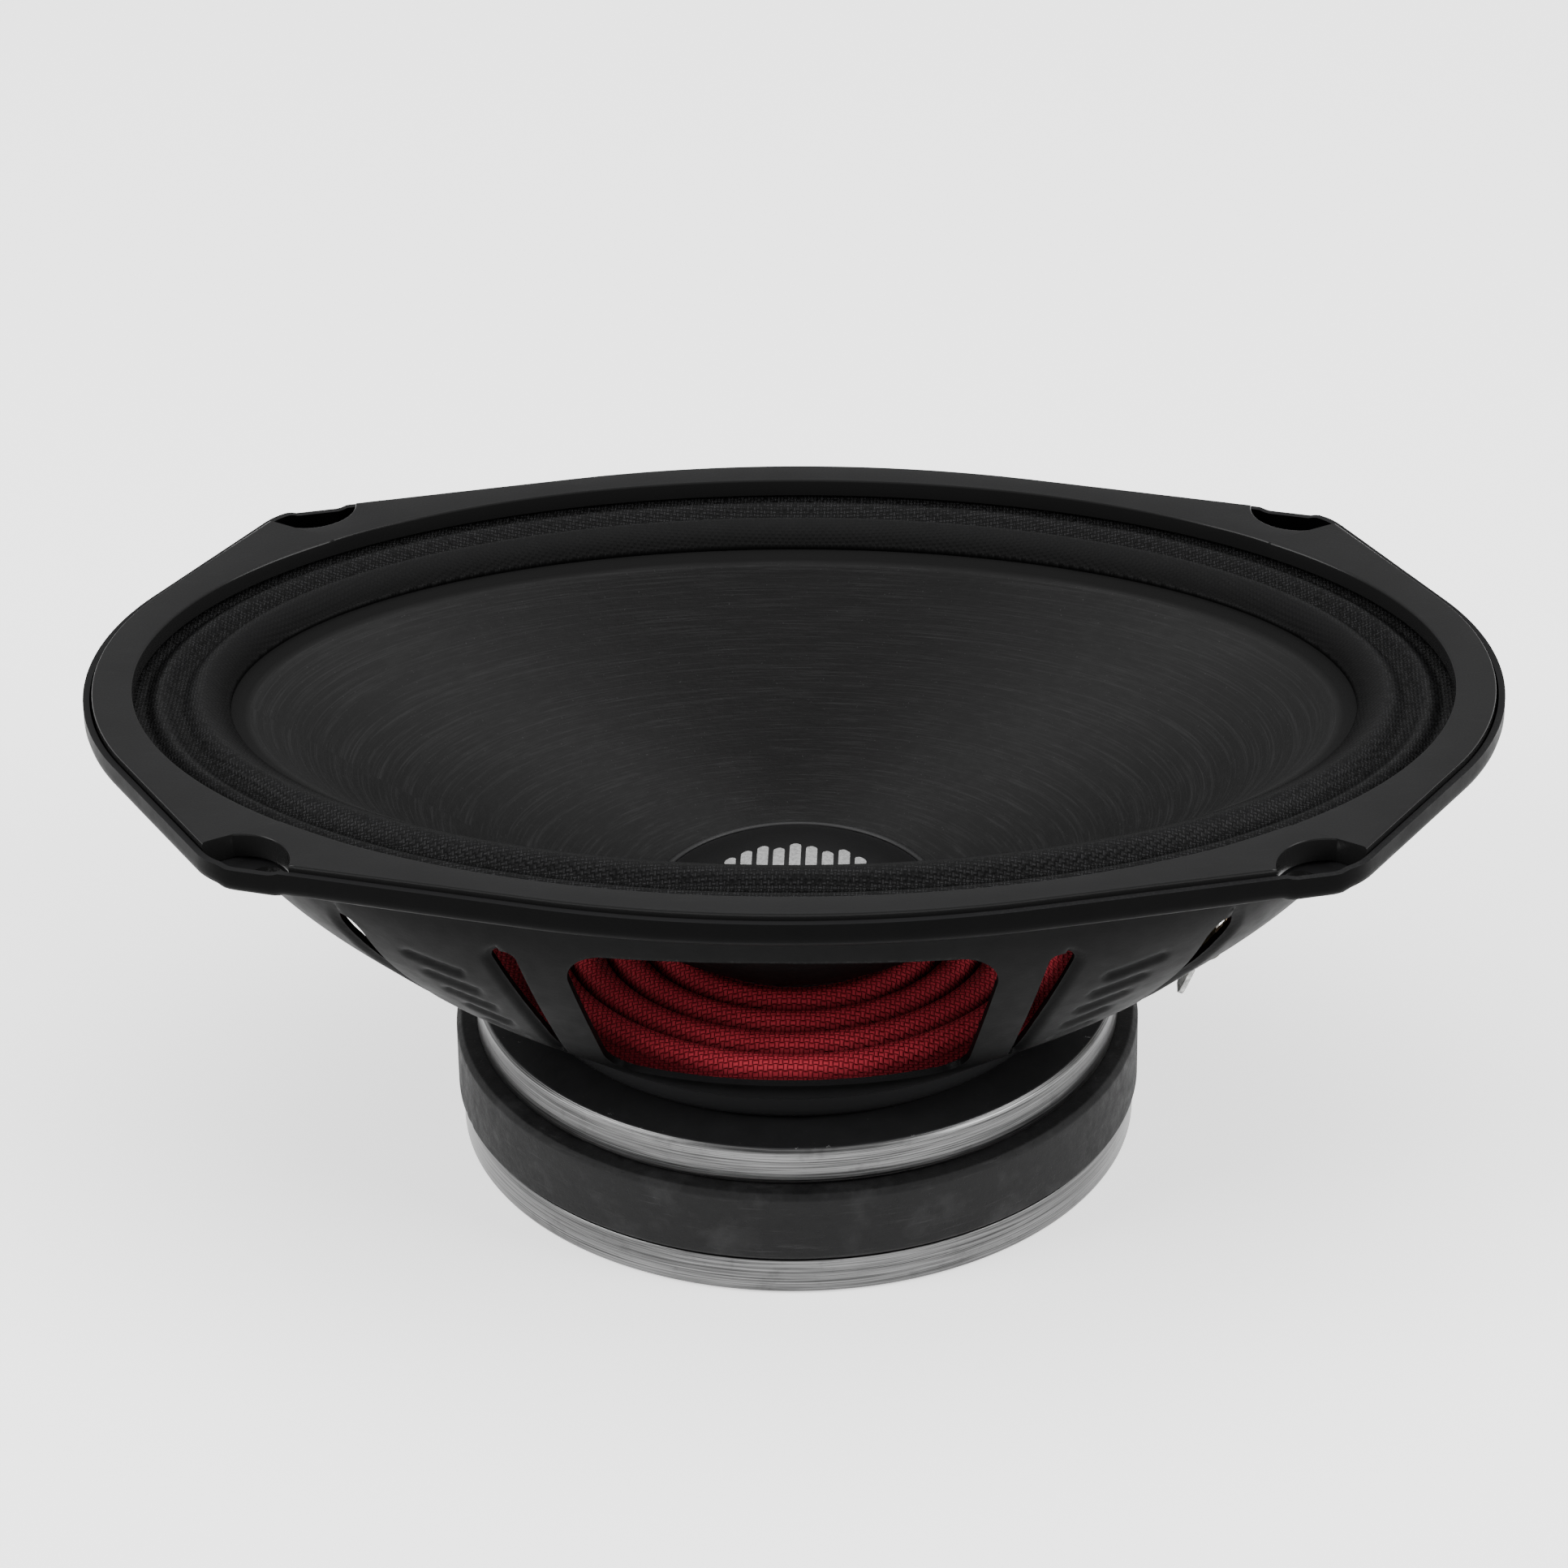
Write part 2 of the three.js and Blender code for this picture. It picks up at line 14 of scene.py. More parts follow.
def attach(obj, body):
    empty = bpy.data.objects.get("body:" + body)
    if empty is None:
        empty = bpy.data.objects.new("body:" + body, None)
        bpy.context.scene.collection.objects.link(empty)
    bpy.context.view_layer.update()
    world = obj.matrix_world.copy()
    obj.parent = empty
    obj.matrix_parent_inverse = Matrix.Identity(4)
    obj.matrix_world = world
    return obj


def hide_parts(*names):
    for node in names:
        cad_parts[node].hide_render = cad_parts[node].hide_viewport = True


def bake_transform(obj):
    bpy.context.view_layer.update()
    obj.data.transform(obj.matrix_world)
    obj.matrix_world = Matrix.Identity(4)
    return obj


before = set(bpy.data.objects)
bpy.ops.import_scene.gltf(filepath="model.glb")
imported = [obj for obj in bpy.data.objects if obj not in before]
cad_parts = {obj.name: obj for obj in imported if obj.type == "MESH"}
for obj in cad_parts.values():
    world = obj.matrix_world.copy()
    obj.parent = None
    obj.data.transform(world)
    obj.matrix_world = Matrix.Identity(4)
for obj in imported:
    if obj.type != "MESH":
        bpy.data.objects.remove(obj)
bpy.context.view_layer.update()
MM = 0.001

# ---------- sizes of the part, in millimetres ----------

BACK_PLATE = {"radius": 57.3, "top": 6.4}
POLE = {"radius": 18.4, "top": 26.4, "vent": 8.0}
MAGNET = {"radius": 58.1, "inner": 27.0, "bottom": 6.6, "top": 19.6, "chamfer": 0.9}
CHIP = {"count": 14, "width": (0.6, 2.2), "height": 0.8, "depth": (0.1, 0.3)}  # chips on the magnet's edges
TOP_PLATE = {"radius": 54.6, "inner": 20.9, "bottom": 19.8, "top": 26.4, "chamfer": 0.7}

SHEET = 1.1  # basket steel
CUP = {"radius": 46.5, "bottom": 26.6, "hole": 27.0}
LEDGE = {"radius": 50.0, "top": 33.8, "knee": (0.4, 0.1)}
FLANGE = {"bottom": 78.5, "top": 83.0, "rim": 1.2}
WALL = [  # half length, half width, squareness and height of the wall's outer face
    (50.0, 50.0, 2.0, 33.4),
    (68.0, 53.7, 2.14, 40.0),
    (88.0, 62.4, 2.42, 58.0),
    (98.0, 68.0, 2.42, 70.0),
    (102.5, 71.2, 2.3, 78.6),
]
WALL_LIFT = 0.3  # of the sheet's middle surface over those heights
SCREW = {"x": 81.8, "y": 55.6, "radius": 2.75}
COLLAR = {"x": 83.1, "y": 55.6, "radius": 6.0, "blend": 1.2, "drop": 0.5}
POCKET = {"x": 86.0, "y": 59.3, "radius": 8.3}

SIDE_WINDOW = ([(-28.6, 37.6), (28.6, 37.6), (35.4, 71.2), (-35.4, 71.2)], 6.0)  # corners, rounding
END_WINDOW = ([(-25.5, 42.6), (25.5, 42.6), (29.0, 70.5), (-29.0, 70.5)], 3.5)
SIDE_SLOT = ((36.3, 39.6, 0.7), (44.2, 67.9, 2.2))  # each end's place and half width
END_SLOT = ((57.4, 36.0, 1.0), (69.0, 49.8, 2.6))
SLOT_LIP = {"width": 1.5, "depth": 0.9}  # beside each slot's far edge the sheet is folded inwards
PRESSED = {"low": 35.5, "high": 76.0, "side": 25.0, "end": 50.0}  # the wall's part with openings
NO_OPENING = 50.0
RIB = {"count": 5, "low": 43.0, "high": 63.0, "reach": 3.4, "width": 1.5, "depth": 0.55, "tilt": 1.2}
RIB_PANEL = {"start": 45.5, "slant": 0.52, "low": 38.0, "high": 70.0}

END_ARC = {"centre": 63.2, "radius": 53.1, "sweep": math.radians(32)}
SIDE_ARC = {"centre": 93.2, "radius": 167.8, "reach": 40.0}
CORNER = (90.0, 57.6)
OPENING = (109.3, 69.0)
GASKET = {"bottom": 79.7, "lip": 80.8, "top": 84.0, "slack": 0.3}

SURROUND = {"lip": 3.2, "thickness": 0.7, "held": 0.6, "moving": 13.8}
SURROUND_TOP = [  # distance inwards from the gasket's edge, and height of the top face
    (-3.2, 80.5),
    (0.6, 80.45),
    (2.2, 80.4),
    (4.3, 81.7),
    (6.6, 80.4),
    (8.2, 80.3),
    (10.0, 81.9),
    (11.5, 82.3),
    (13.8, 81.2),
    (16.0, 79.6),
]
CONE = {"a": 90.1, "b": 49.8, "z": 77.6, "foot": 24.5, "foot_z": 40.0, "bend": 1.2, "wall": 1.35}
CONE_LIP = {"thickness": 0.9, "outer": (13.7, 79.85), "inner": (16.2, 78.7), "edge": 1.3}
CONE_NECK = {"radius": 19.9, "z": 36.6}
DOME = {"radius": 24.2, "z": 40.4, "height": 8.4, "thickness": 0.8}
BEAD = {"outside": 0.15, "above": 0.35, "width": 0.5, "height": 0.4}
EMBLEM = {"pitch": 2.75, "width": 1.9, "lift": 0.10, "base": 0.02}  # bars, and their faces over the dome
EMBLEM["heights"] = (3, 5.2, 7.6, 9.4, 6.8, 10, 8.2, 5.6, 9, 6.2, 3.6)

SPIDER = {"inner": 19.8, "outer": 48.4, "landing": 45.6, "z": 35.6, "thickness": 0.8}
SPIDER_ROLL = {"groove": 26.5, "pitch": 6.5, "wave": 1.3, "roundness": 0.7}
CLOTH_EDGE = {"from": 54.0, "over": 8.0, "lap": 0.2, "wider": 3.6, "lift": 0.75, "turn": (1.6, 0.6)}

FORMER = {"inner": 19.1, "outer": 19.5, "bottom": 12.6, "top": 39.2}
WINDING = {"inner": 19.6, "outer": 20.2, "bottom": 15.1, "top": 31.1, "turns": 46}
RIVET = {"ring": 36.0, "shank": 2.0, "depth": 5.0, "head": 4.0, "rim": 0.35, "seat": 28.0, "height": 1.6}
FLARE = {"x": 50.0, "z": 33.0, "lean": math.atan((40.0 - 33.0) / (68.0 - 50.0))}
BOARD = {"width": 30.0, "start": 8.0, "end": 22.0, "thickness": 1.6, "gap": 0.6, "corner": 1.5, "notch": 2.2}
TAB = {"y": 12.0, "width": 4.8, "thickness": 0.8, "gap": 0.2, "start": 10.0, "bend": 17.2}
TAB_TIP = {"at": (64.6, 30.8), "taper": 2.0, "hole": 0.8, "hole_at": 3.4}
TAB_RIVET = {"head": 1.9, "rim": 0.15, "height": 0.9, "shank": 1.0, "depth": 3.2, "at": 13.0}
STRIP_STEP = 0.35  # between the rows of a board or a tab
POLES = ((1, "positive"), (-1, "negative"))
LEAD = {"radius": 0.66, "y": 7.5, "eyelet": 45.0, "strands": 5, "twist": 1.1, "groove": 0.16}
EYELET = [(0, -1.3), (1.7, -1.3), (2.0, -1.05), (2.0, -0.75), (1.7, -0.5), (0, -0.5)]
LEAD_ROUTE = [  # distance along X, share of LEAD["y"], height
    (70.9, 1.4, 40.9),
    (72.6, 1.4, 43.4),
    (71.4, 1.4, 46.2),
    (67.0, 1.3, 46.8),
    (60.5, 1.2, 44.6),
    (53.0, 1.2, 42.2),
    (47.5, 1.1, 42.8),
]

# ---------- closed curves round the axis, as a radius for each angle ----------


def angles(steps):
    return np.arange(steps) * 2 * math.pi / steps


def oval(phi, a, b, n=2.0):
    """Radius of an ellipse, or of a squarer oval for n over 2."""
    c, s = np.abs(np.cos(phi)), np.abs(np.sin(phi))
    return ((c / a) ** n + (s / b) ** n) ** (-1 / n)


def inside_opening(phi, distance):
    """Radius of the gasket's opening, made smaller all round."""
    return oval(phi, OPENING[0] - distance, OPENING[1] - distance)


def ease(t):
    """A smooth step from 0 to 1."""
    t = np.clip(t, 0, 1)
    return t * t * (3 - 2 * t)


def quadratic(start, control, end, steps):
    t = np.linspace(0, 1, steps).reshape(-1, *[1] * control.ndim)
    return (1 - t) ** 2 * start + 2 * t * (1 - t) * control + t**2 * end


def smooth_line(points, per_span):
    """Points along a smooth curve through the given ones (Catmull-Rom)."""
    points = np.array(points, float)
    padded = np.vstack([2 * points[0] - points[1], points, 2 * points[-1] - points[-2]])
    made = []
    for a, b, c, d in zip(padded, padded[1:], padded[2:], padded[3:]):
        for t in np.arange(per_span) / per_span:
            bend = (2 * a - 5 * b + 4 * c - d) * t**2 + (3 * b - a - 3 * c + d) * t**3
            made.append(0.5 * (2 * b + (c - a) * t + bend))
    return np.array(made + [points[-1]])


def along_line(line):
    """Unit steps along a line of points, and the distance run at each point."""
    step = np.gradient(line, axis=0)
    step /= np.linalg.norm(step, axis=1, keepdims=True)
    lengths = np.linalg.norm(np.diff(line, axis=0), axis=1)
    return step, np.concatenate([[0], np.cumsum(lengths)])


def outline_quarter(offset, fillet):
    """Points of the flange's outline from +X to +Y: an end arc, a filleted corner and a flat side arc."""
    end, side = END_ARC["radius"] + offset, SIDE_ARC["radius"] + offset
    sweep, lean = END_ARC["sweep"], math.asin(SIDE_ARC["reach"] / SIDE_ARC["radius"])
    half = (math.pi / 2 - sweep - lean) / 2
    outwards = np.array([math.sin(lean + half), math.cos(lean + half)])
    tip = np.array(CORNER) + outwards * offset / math.cos(half)
    back = fillet * math.tan(half)
    on_side = tip + back * np.array([-math.cos(lean), math.sin(lean)])
    on_end = tip + back * np.array([math.sin(sweep), -math.cos(sweep)])
    a = np.linspace(0, sweep, 80)
    end_arc = np.stack([END_ARC["centre"] + end * np.cos(a), end * np.sin(a)], 1)
    a = np.linspace(math.pi / 2 - lean, math.pi / 2, 120)
    side_arc = np.stack([side * np.cos(a), side * np.sin(a) - SIDE_ARC["centre"]], 1)
    return np.vstack([end_arc, quadratic(on_end, tip, on_side, 40), side_arc])


def outline(phi, offset, fillet=10.0):
    points = outline_quarter(offset, fillet)
    around = np.arctan2(points[:, 1], points[:, 0])
    folded = np.arctan2(np.abs(np.sin(phi)), np.abs(np.cos(phi)))
    # Straight stretches are kept straight: the ray meets the chord between two outline points.
    k = np.clip(np.searchsorted(around, folded, side="right") - 1, 0, len(points) - 2)
    p, q = points[k], points[k + 1]
    ray = np.stack([np.cos(folded), np.sin(folded)], 1)
    d = q - p
    return (p[:, 0] * d[:, 1] - p[:, 1] * d[:, 0]) / (ray[:, 0] * d[:, 1] - ray[:, 1] * d[:, 0])


# ---------- sections: rows of (radius, height), one row for each step along a profile ----------


def row(radius, height):
    """One row of a section. radius may be a number, or vary with the angle."""
    radius = np.atleast_1d(np.asarray(radius, float))
    return np.stack([radius, np.full_like(radius, height)], 1)


def rows_of(keys, spacing, closed=False, arc=5):
    """Rows along a profile, cut to about `spacing`. A key is a radius, a height and its rounding, if any."""
    count = len(keys)
    width = max(np.size(radius) for radius, *_ in keys)
    corners = [np.broadcast_to(row(radius, height), (width, 2)) for radius, height, *_ in keys]
    pieces = []
    for i, (here, (_, _, *rounding)) in enumerate(zip(corners, keys)):
        ends = not closed and i in (0, count - 1)
        if ends or not rounding or rounding[0] == 0:
            pieces.append([here])
            continue
        before, after, size = corners[i - 1], corners[(i + 1) % count], rounding[0]
        back = here + (before - here) * min(0.48, size / length_of(before - here))
        on = here + (after - here) * min(0.48, size / length_of(after - here))
        pieces.append(list(quadratic(back, here, on, max(arc, int(2 * size / spacing)))))
    rows = []
    for i, piece in enumerate(pieces):
        rows += piece
        if not closed and i == count - 1:
            break
        start, end = piece[-1], pieces[(i + 1) % count][0]
        cuts = max(1, math.ceil(length_of(end - start) / spacing))
        rows += [start + (end - start) * k / cuts for k in range(1, cuts)]
    return np.array(rows)


def length_of(step):
    return max(float(np.mean(np.hypot(step[:, 0], step[:, 1]))), 1e-6)


# ---------- meshes ----------


def new_object(name, vertices, faces, material, smooth_angle=35):
    mesh = bpy.data.meshes.new(name)
    mesh.from_pydata(np.asarray(vertices, float) * MM, [], faces)
    mesh.validate()
    mesh.materials.append(material)
    mesh.shade_smooth()
    mesh.set_sharp_from_angle(angle=math.radians(smooth_angle))
    made = bpy.data.objects.new(name, mesh)
    bpy.context.scene.collection.objects.link(made)
    return made


def points_of(rows, phi):
    """Grid of points, rows by angle, for rows of (radius, height)."""
    rows = np.broadcast_to(rows, (len(rows), len(phi), 2))
    r, z = rows[..., 0], rows[..., 1]
    return np.stack([r * np.cos(phi), r * np.sin(phi), z], -1)


def grid_faces(rows, columns, wrap_rows=False, wrap_columns=True):
    """Quads of a grid, which may come round. They face up for rows along +Y and columns along +X."""
    k = np.arange(rows if wrap_rows else rows - 1)
    i = np.arange(columns if wrap_columns else columns - 1)
    k, i = np.meshgrid(k, i, indexing="ij")
    up, on = (k + 1) % rows, (i + 1) % columns
    quads = np.stack([k * columns + i, k * columns + on, up * columns + on, up * columns + i], -1)
    return quads.reshape(-1, 4)


def ring(name, rows, phi, material, smooth_angle=35):
    """A closed ring: the section's rows come round to the first again."""
    grid = points_of(np.asarray(rows), phi)
    faces = grid_faces(len(rows), len(phi), True)
    return new_object(name, grid.reshape(-1, 3), faces.tolist(), material, smooth_angle)


def turned(name, keys, material, spacing=2.0, steps=256, smooth_angle=35):
    """A turned part with a hole: keys go anticlockwise round its section."""
    return ring(name, rows_of(keys, spacing, closed=True), angles(steps), material, smooth_angle)


def tube_faces(rows, columns):
    """Quads of a tube, and fans to its two end points, whose numbers follow the grid's."""
    faces = grid_faces(rows, columns).tolist()
    first, last, top = rows * columns, rows * columns + 1, (rows - 1) * columns
    for i in range(columns):
        j = (i + 1) % columns
        faces.append((first, j, i))
        faces.append((last, top + i, top + j))
    return faces


def capped(name, profile, material, steps=96, smooth_angle=35):
    """A turned part with no hole: the profile starts and ends on the axis."""
    grid = points_of(np.array([[[r, z]] for r, z in profile[1:-1]]), angles(steps))
    vertices = np.vstack([grid.reshape(-1, 3), [[0, 0, profile[0][1]], [0, 0, profile[-1][1]]]])
    return new_object(name, vertices, tube_faces(len(grid), steps), material, smooth_angle)


def translation(x, y, z):
    return Matrix.Translation((x * MM, y * MM, z * MM))


def ride(piece, body, slot, *nodes):
    """Hands a finished piece to the frame: its body, and the CAD nodes it stands for, which it hides. The
    slot is not used.
    """
    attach(piece, body)
    if nodes:
        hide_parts(*nodes)


# ---------- the basket: one pressed sheet with openings ----------


def inset_polygon(corners, by):
    """A convex anticlockwise polygon with every side moved inwards."""
    corners = np.array(corners, float)
    lines = []
    for p, q in zip(corners, np.roll(corners, -1, 0)):
        along = (q - p) / np.linalg.norm(q - p)
        inwards = np.array([-along[1], along[0]])
        lines.append((p + inwards * by, along))
    made = []
    for (p, u), (q, v) in zip(lines[-1:] + lines[:-1], lines):
        t = np.linalg.solve(np.stack([u, -v], 1), q - p)[0]
        made.append(p + u * t)
    return np.array(made)


def nearest_on(x, y, start, end):
    """How far along a straight line the nearest point is, from 0 to 1, and how far away."""
    (x0, y0), (x1, y1) = start, end
    dx, dy = x1 - x0, y1 - y0
    share = np.clip(((x - x0) * dx + (y - y0) * dy) / (dx * dx + dy * dy), 0, 1)
    return share, np.hypot(x - x0 - share * dx, y - y0 - share * dy)


def outside_polygon(x, y, corners, radius):
    """Signed distance to a convex polygon with rounded corners, negative inside it."""
    shrunk = inset_polygon(corners, radius)
    best = np.full(x.shape, np.inf)
    deepest = np.full(x.shape, -np.inf)
    for p, q in zip(shrunk, np.roll(shrunk, -1, 0)):
        along = (q - p) / np.linalg.norm(q - p)
        best = np.minimum(best, nearest_on(x, y, p, q)[1])
        deepest = np.maximum(deepest, (x - p[0]) * along[1] - (y - p[1]) * along[0])
    return np.where(deepest > 0, best, -best) - radius


def outside_slot(x, y, start, end):
    """Distance to a slot that widens from one round end to the other, and whether it is on its far side."""
    (x0, y0, r0), (x1, y1, r1) = start, end
    share, away = nearest_on(x, y, (x0, y0), (x1, y1))
    far_side = (x - x0) * (y1 - y0) - (y - y0) * (x1 - x0) > 0
    return away - (r0 + (r1 - r0) * share), far_side


def open_distance(p):
    """Distance from each point of the wall to the nearest opening, negative inside one."""
    x, y, z = np.abs(p[..., 0]), np.abs(p[..., 1]), p[..., 2]
    far = np.full(x.shape, NO_OPENING)
    pressed = (z > PRESSED["low"]) & (z < PRESSED["high"])
    at_side, at_end = pressed & (y > PRESSED["side"]), pressed & (x > PRESSED["end"])
    found = np.where(at_side, outside_polygon(x, z, *SIDE_WINDOW), far)
    found = np.minimum(found, np.where(at_side, outside_slot(x, z, *SIDE_SLOT)[0], far))
    found = np.minimum(found, np.where(at_end, outside_polygon(y, z, *END_WINDOW), far))
    found = np.minimum(found, np.where(at_side & at_end, outside_slot(x, y, *END_SLOT)[0], far))
    screw = np.hypot(x - SCREW["x"], y - SCREW["y"]) - SCREW["radius"]
    return np.minimum(found, np.where(z > PRESSED["high"], screw, far))


def lip_depth(p):
    """How far the sheet is folded inwards beside the slots."""
    x, y, z = np.abs(p[..., 0]), np.abs(p[..., 1]), p[..., 2]
    wall = (z > PRESSED["low"]) & (z < PRESSED["high"]) & (y > PRESSED["side"])
    side, beyond_side = outside_slot(x, z, *SIDE_SLOT)
    end, beyond_end = outside_slot(x, y, *END_SLOT)
    away = np.where(wall & beyond_side, side, NO_OPENING)
    away = np.minimum(away, np.where(wall & beyond_end & (x > PRESSED["end"]), end, NO_OPENING))
    return SLOT_LIP["depth"] * ease(1 - away / SLOT_LIP["width"])


def rib_depth(p):
    """Pressed ribs, a plain pattern, on the panels between the side slots and the end slots."""
    x, y, z = np.abs(p[..., 0]), np.abs(p[..., 1]), p[..., 2]
    depth = np.zeros(x.shape)
    for height in np.linspace(RIB["low"], RIB["high"], RIB["count"]):
        rise = height - RIB["low"]
        centre = RIB_PANEL["start"] + rise * RIB_PANEL["slant"]
        reach = RIB["reach"] * (0.8 + 0.02 * rise)
        start, end = (centre - reach, height - RIB["tilt"]), (centre + reach, height + RIB["tilt"])
        edge = np.clip(1 - nearest_on(x, z, start, end)[1] / RIB["width"], 0, 1)
        depth = np.maximum(depth, RIB["depth"] * np.minimum(1, 1.8 * edge) * edge**0.3)
    panel = (y > PRESSED["side"]) & (z > RIB_PANEL["low"]) & (z < RIB_PANEL["high"])
    return np.where(panel, depth, 0)


def collar_drop(p):
    """The flange is pressed down in a shallow boss round each screw hole."""
    x, y = np.abs(p[..., 0]), np.abs(p[..., 1])
    away = np.hypot(x - COLLAR["x"], y - COLLAR["y"]) - COLLAR["radius"]
    return COLLAR["drop"] * ease(0.5 - away / COLLAR["blend"]) * (p[..., 2] > PRESSED["high"])


def ledge_knee():
    """Where the sheet's middle surface leaves the ledge for the wall, as a radius and a height."""
    back, up = LEDGE["knee"]
    return LEDGE["radius"] - back, LEDGE["top"] - SHEET / 2 + up


def basket_rows(phi):
    """The sheet's middle surface, from the cup's hole to the rim's top edge."""
    half = SHEET / 2
    keys = [
        (CUP["hole"], CUP["bottom"] + half),
        (CUP["radius"] - half, CUP["bottom"] + half, 1.8),
        (CUP["radius"] - half, LEDGE["top"] - half, 1.4),
        (*ledge_knee(), 1.2),
    ]
    for (a, b, n, z), rounding in zip(WALL[1:-1], (7, 8, 8)):
        keys.append((oval(phi, a, b, n) - half, z + WALL_LIFT, rounding))
    a, b, n, z = WALL[-1]
    keys.append((oval(phi, a, b, n) - half, FLANGE["bottom"] + half, 2.2))
    rim = FLANGE["rim"] - half
    keys.append((outline(phi, rim), FLANGE["bottom"] + half, 1.3))
    keys.append((outline(phi, rim), FLANGE["top"] - 0.1))
    return rows_of(keys, 0.9)


def sheet_normals(grid):
    """Unit normals of a grid of points, pointing out of the basket."""
    along = np.gradient(grid, axis=0)
    around = np.roll(grid, -1, 1) - np.roll(grid, 1, 1)
    normal = np.cross(around, along)
    return normal / np.linalg.norm(normal, axis=-1, keepdims=True)


def clip_grid(skins, d, quads):
    """Keeps the part of a sheet's two skins where d >= 0, cutting each quad on the line d = 0."""
    extra = [[], []]
    crossing = {}

    def cross(i, j):
        if i > j:
            i, j = j, i
        if (i, j) not in crossing:
            crossing[i, j] = len(d) + len(extra[0])
            t = d[i] / (d[i] - d[j])
            for skin, new in zip(skins, extra):
                new.append(skin[i] + (skin[j] - skin[i]) * t)
        return crossing[i, j]

    kept = d[quads] >= 0
    whole = quads[kept.all(1)].tolist()
    for quad in quads[kept.any(1) & ~kept.all(1)].tolist():
        polygon = []
        for i, j in zip(quad, quad[1:] + quad[:1]):
            if d[i] >= 0:
                polygon.append(i)
            if (d[i] >= 0) != (d[j] >= 0):
                polygon.append(cross(i, j))
        whole.append(polygon)
    points = [np.vstack([skin, np.array(new).reshape(-1, 3)]) for skin, new in zip(skins, extra)]
    return points, whole


def close_sheet(points, faces):
    """Two skins and the narrow faces that join their edges, as one closed mesh."""
    count = len(points[0])
    edges = {}
    for face in faces:
        for i, j in zip(face, face[1:] + face[:1]):
            edges[i, j] = edges.get((i, j), 0) + 1
    closed = list(faces)
    closed += [[i + count for i in reversed(face)] for face in faces]
    closed += [[j, i, i + count, j + count] for i, j in edges if (j, i) not in edges]
    used = np.unique(np.concatenate([np.array(face) for face in closed]))
    fresh = np.zeros(2 * count, int)
    fresh[used] = np.arange(len(used))
    vertices = np.vstack(points)[used]
    return vertices, [fresh[face].tolist() for face in closed]


def round_edges(piece, width, angle=50, segments=2):
    bevel = piece.modifiers.new("edge rounding", "BEVEL")
    bevel.limit_method = "ANGLE"
    bevel.angle_limit = math.radians(angle)
    bevel.width = width * MM
    bevel.segments = segments


def basket(material):
    phi = angles(960)
    grid = points_of(basket_rows(phi), phi)
    grid[..., 2] -= collar_drop(grid)
    normal = sheet_normals(grid)
    distance = open_distance(grid)
    grid = grid - normal * (lip_depth(grid) + rib_depth(grid))[..., None]
    normal = sheet_normals(grid)
    skins = [(grid + normal * out).reshape(-1, 3) for out in (SHEET / 2, -SHEET / 2)]
    points, faces = clip_grid(skins, distance.reshape(-1), grid_faces(*distance.shape))
    made = new_object("basket_shell", *close_sheet(points, faces), material, 42)
    round_edges(made, 0.22)
    ride(made, "frame", "basket_paint", "basket")


# ---------- gasket, surround, cone, spider ----------


def pocketed_outline():
    """The gasket's outline with a round bite at each screw, as angles and radii."""
    corners = outline_quarter(-GASKET["slack"], 1.0)
    quarter = [corners[0]]
    for p, q in zip(corners, corners[1:]):
        cuts = math.ceil(np.linalg.norm(q - p))
        quarter += [p + (q - p) * k / cuts for k in range(1, cuts + 1)]
    quarter = np.array(quarter)
    centre = np.array([POCKET["x"], POCKET["y"]])
    away = np.hypot(*(quarter - centre).T) - POCKET["radius"]
    inside = np.flatnonzero(away < 0)
    first, last = inside[0] - 1, inside[-1] + 1

    def on_circle(k, j):
        t = away[k] / (away[k] - away[j])
        return quarter[k] + (quarter[j] - quarter[k]) * t

    start, end = on_circle(first, first + 1), on_circle(last, last - 1)
    from_angle = math.atan2(*(start - centre)[::-1])
    sweep = (math.atan2(*(end - centre)[::-1]) - from_angle) % (2 * math.pi) - 2 * math.pi
    turn = from_angle + sweep * np.linspace(0, 1, 90)
    bite = centre + POCKET["radius"] * np.stack([np.cos(turn), np.sin(turn)], 1)
    points = np.vstack([quarter[: first + 1], bite, quarter[last:]])
    around = np.arctan2(points[:, 1], points[:, 0])
    rising = [0]
    for k in range(1, len(around)):
        if around[k] > around[rising[-1]] + 1e-4:
            rising.append(k)
    quarter = points[rising]
    quarter = quarter[np.arctan2(quarter[:, 1], quarter[:, 0]) < math.pi / 2 - 1e-4]
    upper = np.vstack([quarter, [[0, points[-1, 1]]], quarter[::-1] * [-1, 1]])
    loop = np.vstack([upper, upper[::-1][1:-1] * [1, -1]])
    return np.arctan2(loop[:, 1], loop[:, 0]), np.hypot(loop[:, 0], loop[:, 1])


def gasket(material):
    """A flat ring with a rabbet over the surround's lip."""
    phi, outer = pocketed_outline()
    opening = oval(phi, *OPENING)
    rabbet = oval(phi, *[side + SURROUND["lip"] + 0.5 for side in OPENING])
    keys = [
        (opening, GASKET["lip"], 0.2),
        (rabbet, GASKET["lip"]),
        (rabbet, GASKET["bottom"]),
        (outer, GASKET["bottom"], 0.3),
        (outer, GASKET["top"], 0.4),
        (opening, GASKET["top"], 0.5),
    ]
    rows = rows_of(keys, 3.0, closed=True, arc=4)
    ride(ring("gasket_plate", rows, phi, material, 50), "frame", "gasket_plastic", "gasket_ring")


def flex(piece, node):
    """Bakes the placing of a piece that flexes into its mesh and hides the CAD node it stands for.
    """
    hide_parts(node)
    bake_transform(piece)


def surround(material):
    phi = angles(720)
    top = [row(inside_opening(phi, distance), z) for distance, z in smooth_line(SURROUND_TOP, 7)]
    rows = np.array([upper - [0, SURROUND["thickness"]] for upper in top] + top[::-1])
    made = ring("surround_rolls", rows, phi, material, 60)
    flex(made, "surround")


